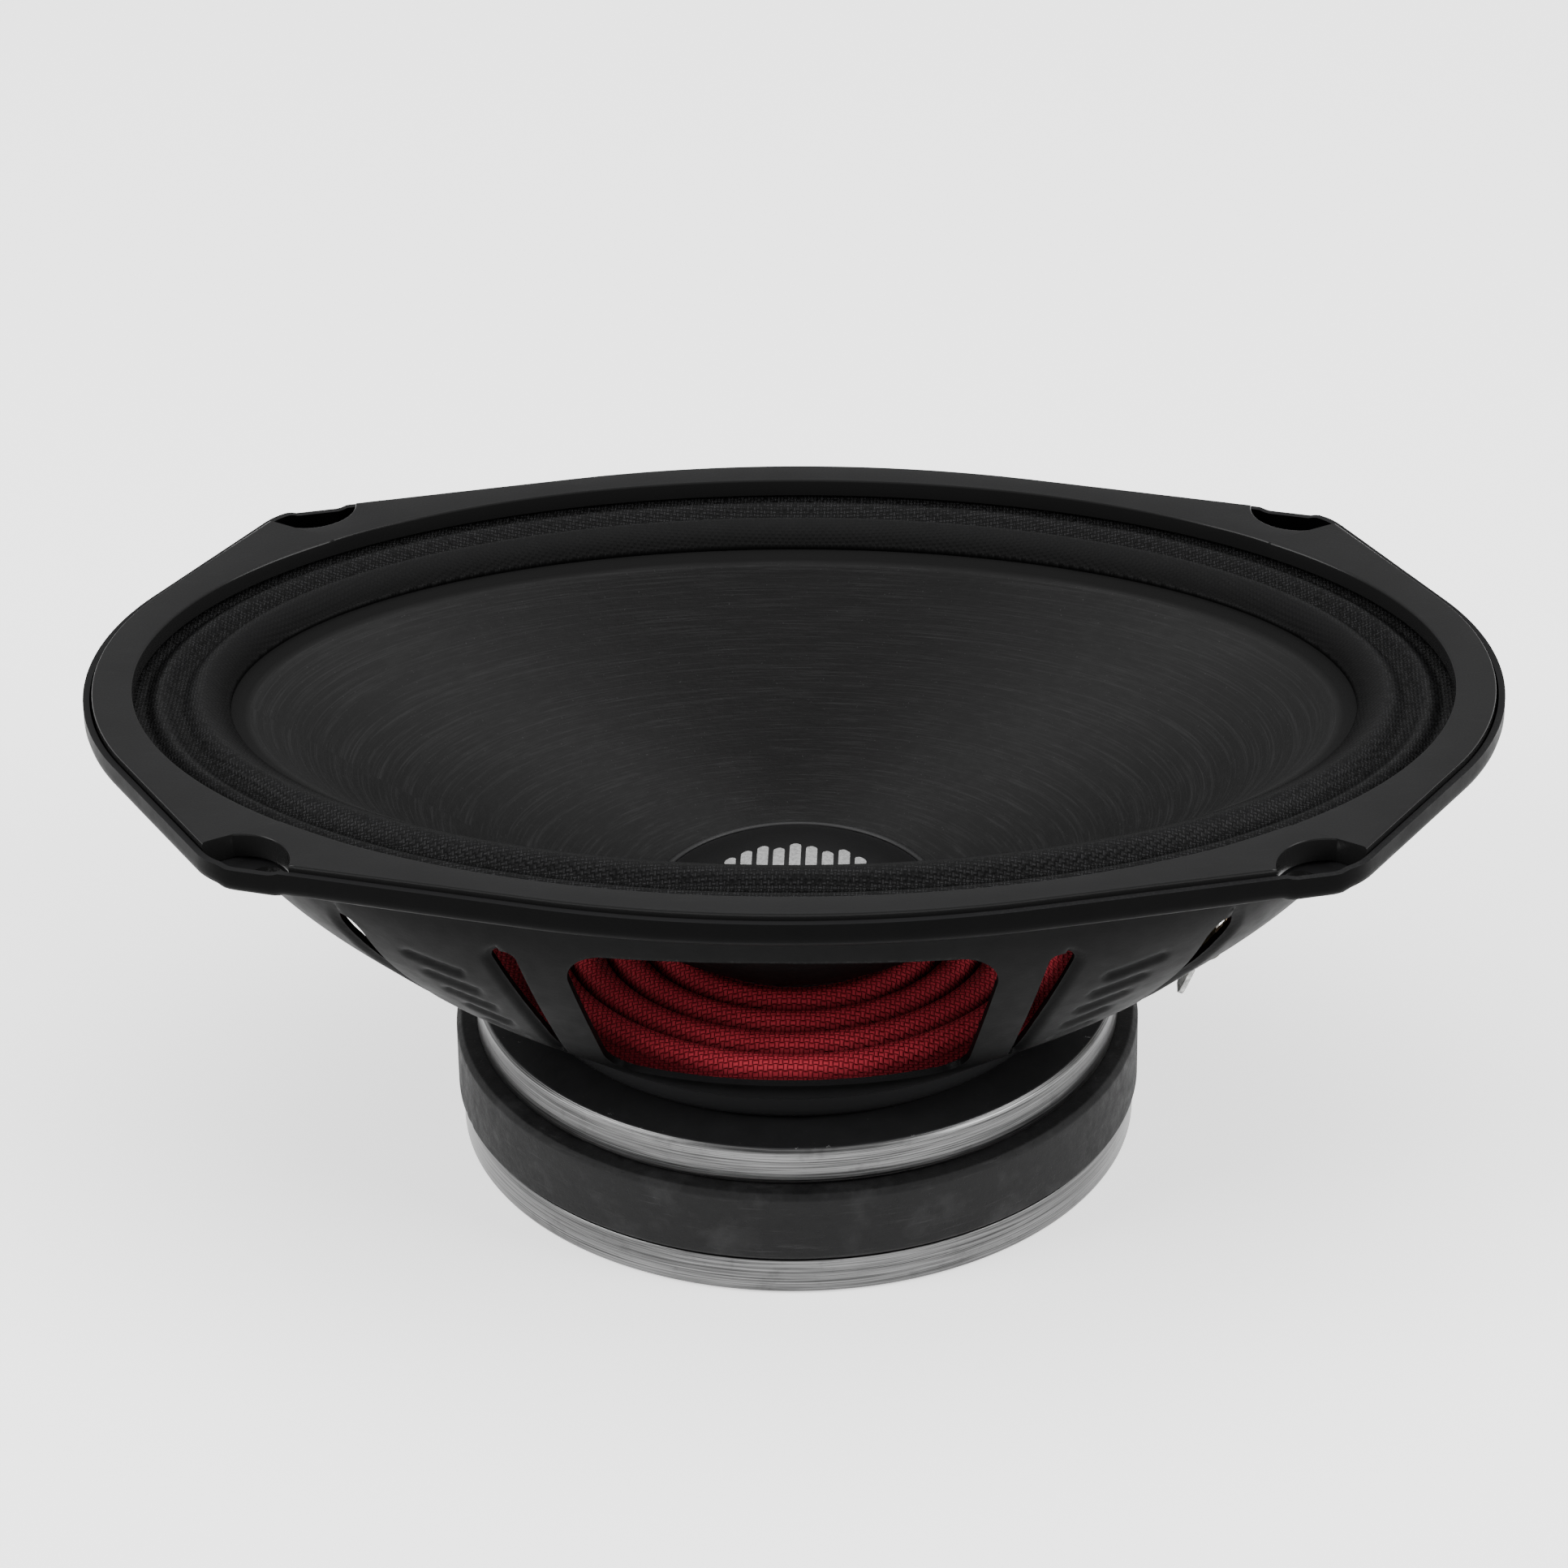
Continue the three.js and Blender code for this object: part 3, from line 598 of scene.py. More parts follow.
def cone_height(t):
    return CONE["foot_z"] + (CONE["z"] - CONE["foot_z"]) * t ** CONE["bend"]


def cone(material):
    phi = angles(720)
    wall, thick = CONE["wall"], CONE_LIP["thickness"]

    def loop(t):
        size = [CONE["foot"] + (side - CONE["foot"]) * t for side in (CONE["a"], CONE["b"])]
        return oval(phi, *size)

    (outer, outer_z), (inner, inner_z) = CONE_LIP["outer"], CONE_LIP["inner"]
    outer, inner = inside_opening(phi, outer), inside_opening(phi, inner)
    upper = [(outer, outer_z), (inner, inner_z, 1.2), (loop(1), CONE["z"], 0.5)]
    lower = [(outer, outer_z - thick), (inner, inner_z - thick)]
    lower.append((loop(1), CONE["z"] - CONE_LIP["edge"], 0.5))
    for t in (0.75, 0.5, 0.25, 0):
        upper.append((loop(t), cone_height(t), 8))
        lower.append((loop(t), cone_height(t) - wall, 8))
    upper.append((CONE_NECK["radius"], CONE_NECK["z"] + wall))
    lower.append((CONE_NECK["radius"], CONE_NECK["z"]))
    rows = rows_of(lower[::-1] + upper, 1.2, closed=True)
    ride(ring("cone_paper", rows, phi, material, 40), "diaphragm", "cone_paper", "cone")


def dome_height(radius):
    return DOME["z"] + DOME["height"] * (1 - (radius / DOME["radius"]) ** 2)


def dust_cap(material):
    edge, thick = DOME["radius"], DOME["thickness"]
    outer = [(r, dome_height(r)) for r in np.linspace(edge, 0, 40)]
    inner = [(r, dome_height(r) - thick) for r in np.linspace(0, edge - thick, 24)]
    ride(capped("dust_cap_dome", inner + outer, material, 192), "diaphragm", "cap_paper", "dust_cap")


def glue_bead(material):
    """The bead that bonds the dome to the paper."""
    centre, middle = DOME["radius"] + BEAD["outside"], DOME["z"] + BEAD["above"]
    wide, high = BEAD["width"], BEAD["height"]
    keys = [(centre + wide * math.cos(t), middle + high * math.sin(t)) for t in angles(10)]
    ride(turned("dust_cap_bead", keys, material, steps=192, smooth_angle=80), "diaphragm", "cap_paper")


def emblem(material):
    """A plain row of level-meter bars printed on the dome."""
    bars, faces = [], []
    middle, half = (len(EMBLEM["heights"]) - 1) / 2, EMBLEM["width"] / 2
    for k, tall in enumerate(EMBLEM["heights"]):
        along = np.linspace(-tall / 2, tall / 2, 2 + 2 * math.ceil(tall))
        x, y = np.meshgrid(np.linspace(-half, half, 5), along)
        rounding = np.clip(np.abs(y) - (tall / 2 - half), 0, None)
        x = (k - middle) * EMBLEM["pitch"] + x * np.sqrt(np.clip(1 - (rounding / half) ** 2, 0.04, 1))
        first = sum(len(bar) for bar in bars)
        faces += (grid_faces(*x.shape, wrap_columns=False) + first).tolist()
        bars.append(np.stack([x, y, dome_height(np.hypot(x, y))], -1).reshape(-1, 3))
    skins = [np.vstack(bars) + [0, 0, lift] for lift in (EMBLEM["lift"], EMBLEM["base"])]
    made = new_object("dust_cap_emblem", *close_sheet(skins, faces), material, 30)
    ride(made, "diaphragm", "cap_paper")


def cloth_edge(phi, seat):
    """The spider's glued edge, which runs up onto the wall's flare at both ends of the basket."""
    a, b, n, z = WALL[1]
    wall = oval(phi, a, b, n) - SHEET / 2
    room = np.clip((wall - CLOTH_EDGE["from"]) / CLOTH_EDGE["over"], 0, 1)
    radius = SPIDER["outer"] + CLOTH_EDGE["lap"] + CLOTH_EDGE["wider"] * room
    start, low = ledge_knee()
    flare = low + (z + WALL_LIFT - low) * np.clip(radius - start, 0, None) / (wall - start)
    height = np.maximum(seat, flare + CLOTH_EDGE["lift"] + SPIDER["thickness"])
    back, down = CLOTH_EDGE["turn"]
    turn = np.stack([radius - back * room, np.maximum(seat, height - down)], 1)
    return [turn, np.stack([radius, height], 1)]


def spider(material):
    """The corrugated cloth disc: round rolls with narrow grooves between them."""
    inner, landing, z, thick = (SPIDER[k] for k in ("inner", "landing", "z", "thickness"))
    wave = SPIDER_ROLL["wave"]
    seat = LEDGE["top"] + CLOTH_EDGE["lap"] + thick
    top = [(inner, z), (inner + 0.8, z)]
    for radius in np.linspace(inner + 2.2, landing - 0.6, 110):
        roll = abs(math.sin(math.pi * (radius - SPIDER_ROLL["groove"]) / SPIDER_ROLL["pitch"]))
        top.append((radius, z - wave + 2 * wave * roll ** SPIDER_ROLL["roundness"]))
    top += [(landing + 0.4, seat), (SPIDER["outer"], seat)]
    phi = angles(480)
    top = [np.broadcast_to(row(r, h), (len(phi), 2)) for r, h in top] + cloth_edge(phi, seat)
    rows = np.array([upper - [0, thick] for upper in top] + top[::-1])
    made = ring("spider_cloth", rows, phi, material, 70)
    flex(made, "spider")


# ---------- motor: plates, magnet, coil, rivets ----------


def back_plate(material):
    radius, top = BACK_PLATE["radius"], BACK_PLATE["top"]
    keys = [
        (POLE["vent"], 0, 0.6),
        (radius, 0, 0.7),
        (radius, top, 0.25),
        (POLE["radius"], top, 0.8),
        (POLE["radius"], POLE["top"], 0.8),
        (POLE["vent"], POLE["top"], 1.0),
    ]
    ride(turned("back_plate_and_pole", keys, material, 3.0, 384), "frame", "bare_steel", "back_plate_pole")


def magnet(material):
    """Pressed ceramic: its edges are chamfered and slightly uneven."""
    radius, inner, bottom, top, chamfer = MAGNET.values()
    keys = [
        (inner, bottom, 0.5),
        (radius - chamfer, bottom, 0.25),
        (radius, bottom + chamfer, 0.25),
        (radius, top - chamfer, 0.25),
        (radius - chamfer, top, 0.25),
        (inner, top, 0.5),
    ]
    made = turned("magnet_ring", keys, material, 1.5, 384, 30)
    points = np.array([v.co for v in made.data.vertices]) / MM
    angle = np.arctan2(points[:, 1], points[:, 0])
    outer = np.hypot(points[:, 0], points[:, 1]) > radius - 0.5
    chip = np.zeros(len(points))
    random = np.random.default_rng(5)
    for _ in range(CHIP["count"]):
        at = random.uniform(-math.pi, math.pi)
        wide = random.uniform(*CHIP["width"])
        deep = random.uniform(*CHIP["depth"])
        edge = random.choice([bottom + chamfer, top - chamfer])
        beside = np.angle(np.exp(1j * (angle - at))) * radius
        away = np.hypot(beside / wide, (points[:, 2] - edge) / CHIP["height"])
        chip = np.maximum(chip, deep * np.clip(1 - away, 0, 1))
    scale = 1 - np.where(outer, chip, 0) / radius
    moved = points * np.stack([scale, scale, np.ones_like(scale)], 1) * MM
    made.data.vertices.foreach_set("co", moved.ravel())
    ride(made, "frame", "ferrite", "ferrite_magnet")


def top_plate(steel, paint):
    """A turned steel plate, painted black on top up to its bright chamfer."""
    radius, inner, bottom, top, chamfer = TOP_PLATE.values()
    keys = [
        (inner, bottom, 0.4),
        (radius, bottom, 0.3),
        (radius, top - chamfer, 0.2),
        (radius - chamfer, top, 0.2),
        (inner, top, 0.4),
    ]
    made = turned("top_plate_disc", keys, steel, 2.0, 384, 25)
    made.data.materials.append(paint)
    for face in made.data.polygons:
        x, y, z = face.center / MM
        if z > top - 0.25 and math.hypot(x, y) < radius - chamfer + 0.15:
            face.material_index = 1
    ride(made, "frame", "bare_steel", "top_plate")


def coil(former_material, wire_material):
    inner, outer, bottom, top = FORMER.values()
    keys = [(inner, bottom), (outer, bottom), (outer, top), (inner, top)]
    former = turned("coil_former", keys, former_material, 4, 192)
    ride(former, "diaphragm", "former_sheet", "voice_coil_former")
    inner, outer, bottom, top, turns = WINDING.values()
    groove, pitch = outer - 0.12, (top - bottom) / turns
    keys = [(inner, bottom)]
    for low in bottom + pitch * np.arange(turns):
        keys += [(groove, low + 0.02), (outer, low + pitch / 2)]
    keys += [(groove, top), (inner, top)]
    wire = turned("coil_winding", keys, wire_material, 50, 128, 80)
    ride(wire, "diaphragm", "copper_wire", "voice_coil_winding")


def rivet_profile(rivet, seat, turn):
    """From the end of the shank to the top of the domed head."""
    head, shank, low, rim = rivet["head"], rivet["shank"], seat - rivet["depth"], seat + rivet["rim"]
    dome = [(head * math.cos(t), rim + (rivet["height"] - rivet["rim"]) * math.sin(t)) for t in turn]
    return [(0, low), (shank, low), (shank, seat), (head, seat), *dome, (0, seat + rivet["height"])]


def basket_rivets(material):
    profile = rivet_profile(RIVET, RIVET["seat"], np.linspace(0.05, 1.45, 10))
    reach = RIVET["ring"] * math.sqrt(0.5)
    for k, (sx, sy) in enumerate(((1, 1), (-1, 1), (-1, -1), (1, -1)), 1):
        rivet = capped(f"cup_rivet_{k}", profile, material, 48)
        rivet.data.transform(translation(sx * reach, sy * reach, 0))
        ride(rivet, "frame", "tinned_metal", f"basket_rivet_{k}")


# ---------- terminal end ----------


def flare_point(along, out):
    """The point `along` the wall's lowest flare, from the ledge, and `out` below it."""
    c, s = math.cos(FLARE["lean"]), math.sin(FLARE["lean"])
    return np.array([FLARE["x"] + along * c + out * s, FLARE["z"] + along * s - out * c])


def strip(name, line, width, thickness, middle, inside, material, across=28):
    """A sheet strip bent along a line in X and Z, kept where inside(along, across) is over 0."""
    step, run = along_line(line)
    side = np.stack([step[:, 1], -step[:, 0]], 1)
    y = np.linspace(-width / 2, width / 2, across)
    skins = []
    for out in (-thickness / 2, thickness / 2):
        bent = line + side * out
        skin = [np.stack([np.full(across, x), middle + y, np.full(across, z)], 1) for x, z in bent]
        skins.append(np.vstack(skin))
    gap = inside(run[:, None], y[None, :])
    points, faces = clip_grid(skins, gap.reshape(-1), grid_faces(*gap.shape, wrap_columns=False))
    return new_object(name, *close_sheet(points, faces), material, 40)


def terminal_board(material):
    """A board with rounded corners and a notch in the middle of its outer edge."""
    long, wide, corner = BOARD["end"] - BOARD["start"], BOARD["width"], BOARD["corner"]
    middle = BOARD["gap"] + BOARD["thickness"] / 2
    line = rows_of([flare_point(BOARD[end], middle) for end in ("start", "end")], STRIP_STEP)[:, 0]

    def inside(u, y):
        du = np.abs(u - long / 2) - (long / 2 - corner)
        dy = np.abs(y) - (wide / 2 - corner)
        outside = np.hypot(np.clip(du, 0, None), np.clip(dy, 0, None)) + np.minimum(np.maximum(du, dy), 0)
        return np.minimum(corner - outside, np.hypot(u - long, y) - BOARD["notch"])

    board = strip("terminal_strip", line, wide, BOARD["thickness"], 0, inside, material, 90)
    round_edges(board, 0.2)
    ride(board, "frame", "board_laminate", "terminal_board")


def terminal_tabs(metal, brass):
    """Two bent spade tabs, each held on the board by a rivet."""
    surface = BOARD["gap"] + BOARD["thickness"] + TAB["gap"]
    face, half = surface + TAB["thickness"] / 2, TAB["width"] / 2
    foot, bend = flare_point(TAB["start"], face), flare_point(TAB["bend"], face)
    line = rows_of([foot, (*bend, 1.2), TAB_TIP["at"]], STRIP_STEP)[:, 0]
    tip = along_line(line)[1][-1]

    def inside(u, y):
        shoulder = half + 0.9 - np.abs(y) - 0.9 * np.clip(u - (tip - TAB_TIP["taper"]), 0, None)
        edge = np.minimum(u, half - np.abs(y)) + 0.001
        hole = np.hypot(u - (tip - TAB_TIP["hole_at"]), y) - TAB_TIP["hole"]
        return np.minimum(np.minimum(0.74 * shoulder, edge), hole)

    profile = rivet_profile(TAB_RIVET, 0, np.linspace(0.05, 1.4, 8))
    for side, pole in POLES:
        y = side * TAB["y"]
        tab = strip(f"spade_tab_{pole}", line, TAB["width"], TAB["thickness"], y, inside, metal)
        round_edges(tab, 0.08, 60)
        ride(tab, "frame", "tinned_metal", f"terminal_tab_{pole}")
        rivet = capped(f"spade_rivet_{pole}", profile, brass, 32)
        lay_on_flare(rivet, TAB_RIVET["at"], surface + TAB["thickness"] + TAB["gap"], y)
        ride(rivet, "frame", "rivet_brass", f"terminal_rivet_{pole}")


def lay_on_flare(piece, along, out, y):
    """Turns a piece made along +Z to point away from the flare, at a place on it."""
    x, z = flare_point(along, out)
    turn = Matrix.Rotation(math.pi - FLARE["lean"], 4, "Y")
    piece.data.transform(translation(x, y, z) @ turn)


def eyelet_place():
    """Height of the cone's lower face at the eyelets, and the paper's slope there."""
    t = (LEAD["eyelet"] - CONE["foot"]) / (CONE["a"] - CONE["foot"])
    rise = CONE["bend"] * (CONE["z"] - CONE["foot_z"]) * t ** (CONE["bend"] - 1)
    return cone_height(t) - CONE["wall"], math.atan(rise / (CONE["a"] - CONE["foot"]))


def lead(pole, y, height, material):
    """A flexible lead of twisted strands, with slack for the cone's travel."""
    route = [(x, y * share, z) for x, share, z in LEAD_ROUTE]
    line = smooth_line(route + [(LEAD["eyelet"] + 0.6, y, height - 1.7)], 26)
    step, run = along_line(line)
    across = np.cross(step, [0, 1, 0])
    across /= np.linalg.norm(across, axis=1, keepdims=True)
    over = np.cross(step, across)
    around = angles(24)
    strand = np.abs(np.sin(LEAD["strands"] * (around + LEAD["twist"] * run[:, None]) / 2))
    radius = LEAD["radius"] * (1 - LEAD["groove"] * (1 - strand))[..., None]
    turn = np.cos(around)[:, None] * across[:, None] + np.sin(around)[:, None] * over[:, None]
    grid = line[:, None] + radius * turn
    vertices = np.vstack([grid.reshape(-1, 3), line[:1], line[-1:]])
    made = new_object(f"braided_lead_{pole}", vertices, tube_faces(len(line), 24), material, 80)
    flex(made, f"tinsel_lead_{pole}")


def leads(braid, brass):
    height, slope = eyelet_place()
    for side, pole in POLES:
        y = side * LEAD["y"]
        lead(pole, y, height, braid)
        eyelet = capped(f"cone_eyelet_{pole}", EYELET, brass, 32)
        eyelet.data.transform(translation(LEAD["eyelet"], y, height) @ Matrix.Rotation(-slope, 4, "Y"))
        ride(eyelet, "diaphragm", "rivet_brass", f"lead_eyelet_{pole}")


# ---------- materials ----------


def grey(level, blue=None):
    return level, level, level if blue is None else blue


class Finish:
    """A procedural material. Its textures are placed in object space, in millimetres."""

    def __init__(self, name, **sockets):
        self.material = bpy.data.materials.new(name)
        self.material.use_nodes = True
        self.tree = self.material.node_tree
        self.surface = self.tree.nodes["Principled BSDF"]
        for socket, value in sockets.items():
            self.set(socket.replace("_", " "), value)
        self.place = self.scaled(self.add("ShaderNodeTexCoord").outputs["Object"], (1 / MM,) * 3)
        self.x, self.y, self.z = self.add("ShaderNodeSeparateXYZ", self.place).outputs

    def add(self, kind, *values, settings=(), **inputs):
        """A node, with inputs joined by their place or by their name."""
        node = self.tree.nodes.new(kind)
        for setting, value in dict(settings).items():
            setattr(node, setting, value)
        for socket, value in zip(node.inputs, values):
            self.join(socket, value)
        for name, value in inputs.items():
            self.join(node.inputs[name.replace("_", " ")], value)
        return node

    def join(self, socket, value):
        if isinstance(value, bpy.types.NodeSocket):
            self.tree.links.new(value, socket)
        else:
            socket.default_value = value

    def set(self, socket, value):
        self.join(self.surface.inputs[socket], value)

    def paint(self, colour, roughness, *relief):
        self.set("Base Color", colour)
        if roughness is not None:
            self.set("Roughness", roughness)
        self.bump(*relief)
        return self.material

    def scaled(self, place, by):
        return self.add("ShaderNodeVectorMath", place, by, settings={"operation": "MULTIPLY"}).outputs[0]

    def math(self, operation, *values):
        return self.add("ShaderNodeMath", *values, settings={"operation": operation}).outputs[0]

    def times(self, a, b):
        return self.math("MULTIPLY", a, b)

    def between(self, value, low, high):
        """0 at low, 1 at high, and straight between them."""
        return self.add("ShaderNodeMapRange", Value=value, From_Min=low, From_Max=high).outputs[0]

    def blend(self, factor, low, high):
        """low where factor is 0, high where it is 1."""
        inputs = {"Value": factor, "To Min": low, "To Max": high}
        return self.add("ShaderNodeMapRange", settings={"clamp": False}, **inputs).outputs[0]

    def noise(self, size, detail=3.0, roughness=0.55, place=None):
        """Noise with features about `size` millimetres wide."""
        inputs = {"Vector": place or self.place, "Scale": 1 / size, "Detail": detail, "Roughness": roughness}
        return self.add("ShaderNodeTexNoise", **inputs).outputs[0]

    def polar(self, around, outwards, up):
        """A place told by angle, radius and height, each divided by a size in millimetres."""
        angle = self.times(self.math("ARCTAN2", self.y, self.x), 50 / around)
        radius, height = self.math("DIVIDE", self.radius(), outwards), self.math("DIVIDE", self.z, up)
        return self.add("ShaderNodeCombineXYZ", angle, radius, height).outputs[0]

    def radius(self, a=1.0, b=1.0):
        x, y = self.math("DIVIDE", self.x, a), self.math("DIVIDE", self.y, b)
        return self.math("SQRT", self.math("ADD", self.times(x, x), self.times(y, y)))

    def mixed(self, factor, a, b, share=1.0):
        """Colour a where factor is 0, and `share` of the way to b where it is 1."""
        if share < 1:
            factor = self.times(factor, share)
        node = self.add("ShaderNodeMix", settings={"data_type": "RGBA"})
        for number, value in zip((0, 6, 7), (factor, a, b)):
            self.join(node.inputs[number], (*value, 1) if isinstance(value, tuple) else value)
        return node.outputs[2]

    def facing_up(self):
        normal = self.add("ShaderNodeNewGeometry").outputs["Normal"]
        return self.add("ShaderNodeSeparateXYZ", normal).outputs[2]

    def bump(self, *layers):
        """Each layer is a height from 0 to 1 and the relief it stands for, in millimetres."""
        normal = None
        for height, relief in layers:
            node = self.add("ShaderNodeBump", Height=height, Distance=relief * MM, Strength=1.0)
            if normal:
                self.join(node.inputs["Normal"], normal)
            normal = node.outputs[0]
        self.set("Normal", normal)

    def weave(self, period):
        """A plain weave's height: threads along X and Y, over and under."""
        sx, sy = (self.math("SINE", self.times(c, math.pi / period)) for c in (self.x, self.y))
        over = self.between(self.math("SIGN", self.times(sx, sy)), -1, 1)
        warp, weft = self.math("ABSOLUTE", sx), self.math("ABSOLUTE", sy)
        lift = self.times(self.math("SUBTRACT", warp, weft), self.math("SUBTRACT", over, 0.5))
        return self.math("ADD", self.times(self.times(warp, weft), 0.6), lift)


def basket_paint():
    f = Finish("basket_black_paint", Specular_IOR_Level=0.03)
    ridge = f.add("ShaderNodeNewGeometry").outputs["Pointiness"]
    worn = f.times(f.between(ridge, 0.56, 0.66), f.between(f.noise(0.3, 4), 0.5, 0.66))
    # Painted light: the paint is made lighter on the cup and ledge below 36.5 mm, lifting the shade that
    # falls there, and on faces turned upwards, as if lit from above.
    painted_light_foot_and_tops = f.math("MAXIMUM", f.between(f.z, 36.5, 32.0), f.between(f.facing_up(), 0.6, 0.95))
    paint = f.mixed(f.noise(9), grey(0.0004), grey(0.001, 0.00105))
    paint = f.mixed(painted_light_foot_and_tops, paint, grey(0.009, 0.0093))
    paint = f.mixed(worn, paint, grey(0.02), 0.5)
    rough = f.blend(f.noise(3.5, 4), 0.34, 0.56)
    return f.paint(paint, rough, (f.noise(0.7, 2), 0.015), (f.noise(0.16, 2), 0.004))


def gasket_plastic():
    f = Finish("gasket_black_plastic", Specular_IOR_Level=0.1)
    flat = f.between(f.facing_up(), 0.55, 0.95)
    grain = f.noise(0.35, 3)
    scuff = f.between(f.noise(1, 5, 0.6, f.scaled(f.place, (1 / 6, 1 / 1.2, 1 / 2))), 0.56, 0.8)
    top = f.mixed(f.noise(12), grey(0.0058, 0.0059), grey(0.0088, 0.009))
    top = f.mixed(scuff, top, grey(0.014, 0.0143), 0.3)
    rough = f.blend(flat, 0.16, f.blend(grain, 0.46, 0.66))
    return f.paint(f.mixed(flat, grey(0.008), top), rough, (grain, 0.012))


def surround_cloth():
    """Coated cloth, with painted shade low in its valleys and, near the gasket, a painted highlight on the
    threads of its weave.
    """
    f = Finish("surround_coated_cloth", Specular_IOR_Level=0.06)
    cloth = f.weave(0.58)
    # Painted shade: the cloth is darker down in the valleys between the rolls and lighter up on their
    # crests.
    painted_roll_shade = f.mixed(f.between(f.z, 80.3, 82.2), grey(0.0002), grey(0.0036, 0.0037))
    # Painted highlight: near the gasket the weave's threads are painted lighter; the weave is the cloth's
    # own, the brightness on its threads is painted light.
    thread_highlight = f.times(f.between(cloth, 0.3, 0.8), f.between(f.noise(0.7, 2), 0.36, 0.6))
    outer = f.between(f.radius(OPENING[0] - 10.6, OPENING[1] - 10.6), 0.985, 1.004)
    colour = f.mixed(f.times(thread_highlight, outer), painted_roll_shade, grey(0.028, 0.029))
    return f.paint(colour, f.blend(f.noise(2.2, 4), 0.38, 0.6), (cloth, 0.05), (f.noise(0.3, 2), 0.01))


def cone_paper():
    """Pressed paper with fibres and brush lines that run round it, and a dull dark lip."""
    f = Finish("cone_pressed_paper", Specular_IOR_Level=0.19)
    mottle = f.between(f.noise(7, 5, 0.62), 0.32, 0.68)
    fibre = f.noise(1, 4, 0.7, f.polar(2.4, 30, 0.45))
    brushed = f.between(f.noise(1, 4, 0.75, f.polar(15, 200, 0.24)), 0.5, 0.74)
    speck = f.between(f.noise(0.34, 1, 0.4), 0.72, 0.8)
    lip = f.between(f.z, CONE["z"] - 0.1, CONE["z"] + 0.4)
    paper = f.mixed(mottle, grey(0.0002), grey(0.0008))
    paper = f.mixed(f.between(fibre, 0.5, 0.75), paper, grey(0.0042, 0.0043), 0.5)
    paper = f.mixed(brushed, paper, grey(0.0125, 0.0127), 0.7)
    paper = f.mixed(speck, paper, grey(0.03), 0.5)
    rough = f.blend(lip, f.blend(fibre, 0.48, 0.8), 1.0)
    return f.paint(f.mixed(lip, paper, grey(0.0012)), rough, (fibre, 0.06), (mottle, 0.06), (brushed, 0.02))


def cap_paper():
    f = Finish("dust_cap_satin", Specular_IOR_Level=0.22)
    grain = f.noise(0.5, 4, 0.6)
    edge = f.between(f.radius(), DOME["radius"] - 1.1, DOME["radius"] - 0.4)
    satin = f.mixed(f.noise(6), grey(0.003, 0.0031), grey(0.005, 0.0052))
    return f.paint(f.mixed(edge, satin, grey(0.02, 0.0205), 0.6), f.blend(grain, 0.36, 0.54), (grain, 0.012))


def emblem_ink():
    f = Finish("emblem_grey_ink", Roughness=0.5)
    worn = f.between(f.noise(0.5, 4, 0.7), 0.35, 0.6)
    return f.paint(f.mixed(worn, grey(0.16), grey(0.28)), None, (worn, 0.02))


def spider_cloth():
    f = Finish("spider_crimson_cloth", Specular_IOR_Level=0.12)
    cloth = f.weave(0.82)
    gap = f.between(cloth, -0.15, 0.40)
    # Painted shade: the crimson is darkened low in the grooves between the rolls, where shade falls, and
    # stays full on the crests.
    groove = f.between(f.z, SPIDER["z"] - 1.2, SPIDER["z"] + 0.6)
    colour = f.mixed(f.noise(5), (0.56, 0.040, 0.060), (0.78, 0.062, 0.092))
    colour = f.mixed(groove, (0.06, 0.002, 0.005), colour)
    colour = f.mixed(gap, (0.03, 0.001, 0.0025), colour)
    return f.paint(colour, f.blend(gap, 0.9, 0.62), (cloth, 0.25), (f.noise(0.2, 3), 0.02))


def turned_steel():
    """Plated steel with fine turning lines round the axis."""
    f = Finish("zinc_plated_steel", Metallic=1.0)
    lines = f.noise(1, 4, 0.75, f.polar(30, 0.25, 0.22))
    broad = f.noise(1, 3, 0.6, f.polar(24, 3, 1.6))
    stain = f.between(f.noise(4, 5, 0.65), 0.55, 0.75)
    metal = f.mixed(f.between(lines, 0.38, 0.62), grey(0.035), grey(0.20))
    metal = f.mixed(f.between(broad, 0.45, 0.7), metal, grey(0.035), 0.4)
    return f.paint(f.mixed(stain, metal, grey(0.0175), 0.35), f.blend(lines, 0.20, 0.44), (lines, 0.02))


def plate_paint():
    """Black paint that has chipped off in specks, most of them near the rim."""
    f = Finish("top_plate_black_paint", Specular_IOR_Level=0.25)
    rim = f.between(f.radius(), TOP_PLATE["radius"] - 3.5, TOP_PLATE["radius"] - 0.8)
    chips = f.between(f.math("ADD", f.noise(1.6, 5, 0.7), f.times(rim, 0.08)), 0.72, 0.75)
    f.set("Metallic", chips)
    paint = f.mixed(f.noise(5), grey(0.007, 0.0073), grey(0.012, 0.0125))
    rough = f.blend(f.noise(2, 4), 0.28, 0.55)
    return f.paint(f.mixed(chips, paint, grey(0.3)), rough, (f.noise(0.5, 3), 0.02))


def ferrite():
    f = Finish("sintered_ferrite", Specular_IOR_Level=0.12)
    mottle = f.between(f.noise(2.6, 6, 0.68), 0.3, 0.7)
    scuff = f.between(f.noise(1, 4, 0.7, f.polar(9, 3, 0.5)), 0.6, 0.82)
    smudge = f.between(f.noise(7, 4, 0.6), 0.52, 0.72)
    pits = f.between(f.noise(0.5, 2), 0.28, 0.36)
    body = f.mixed(mottle, grey(0.003, 0.0031), grey(0.0085, 0.0087))
    body = f.mixed(smudge, body, grey(0.024, 0.0245), 0.4)
    body = f.mixed(scuff, body, grey(0.045), 0.5)
    return f.paint(body, f.blend(mottle, 0.5, 0.74), (mottle, 0.05), (pits, 0.05))


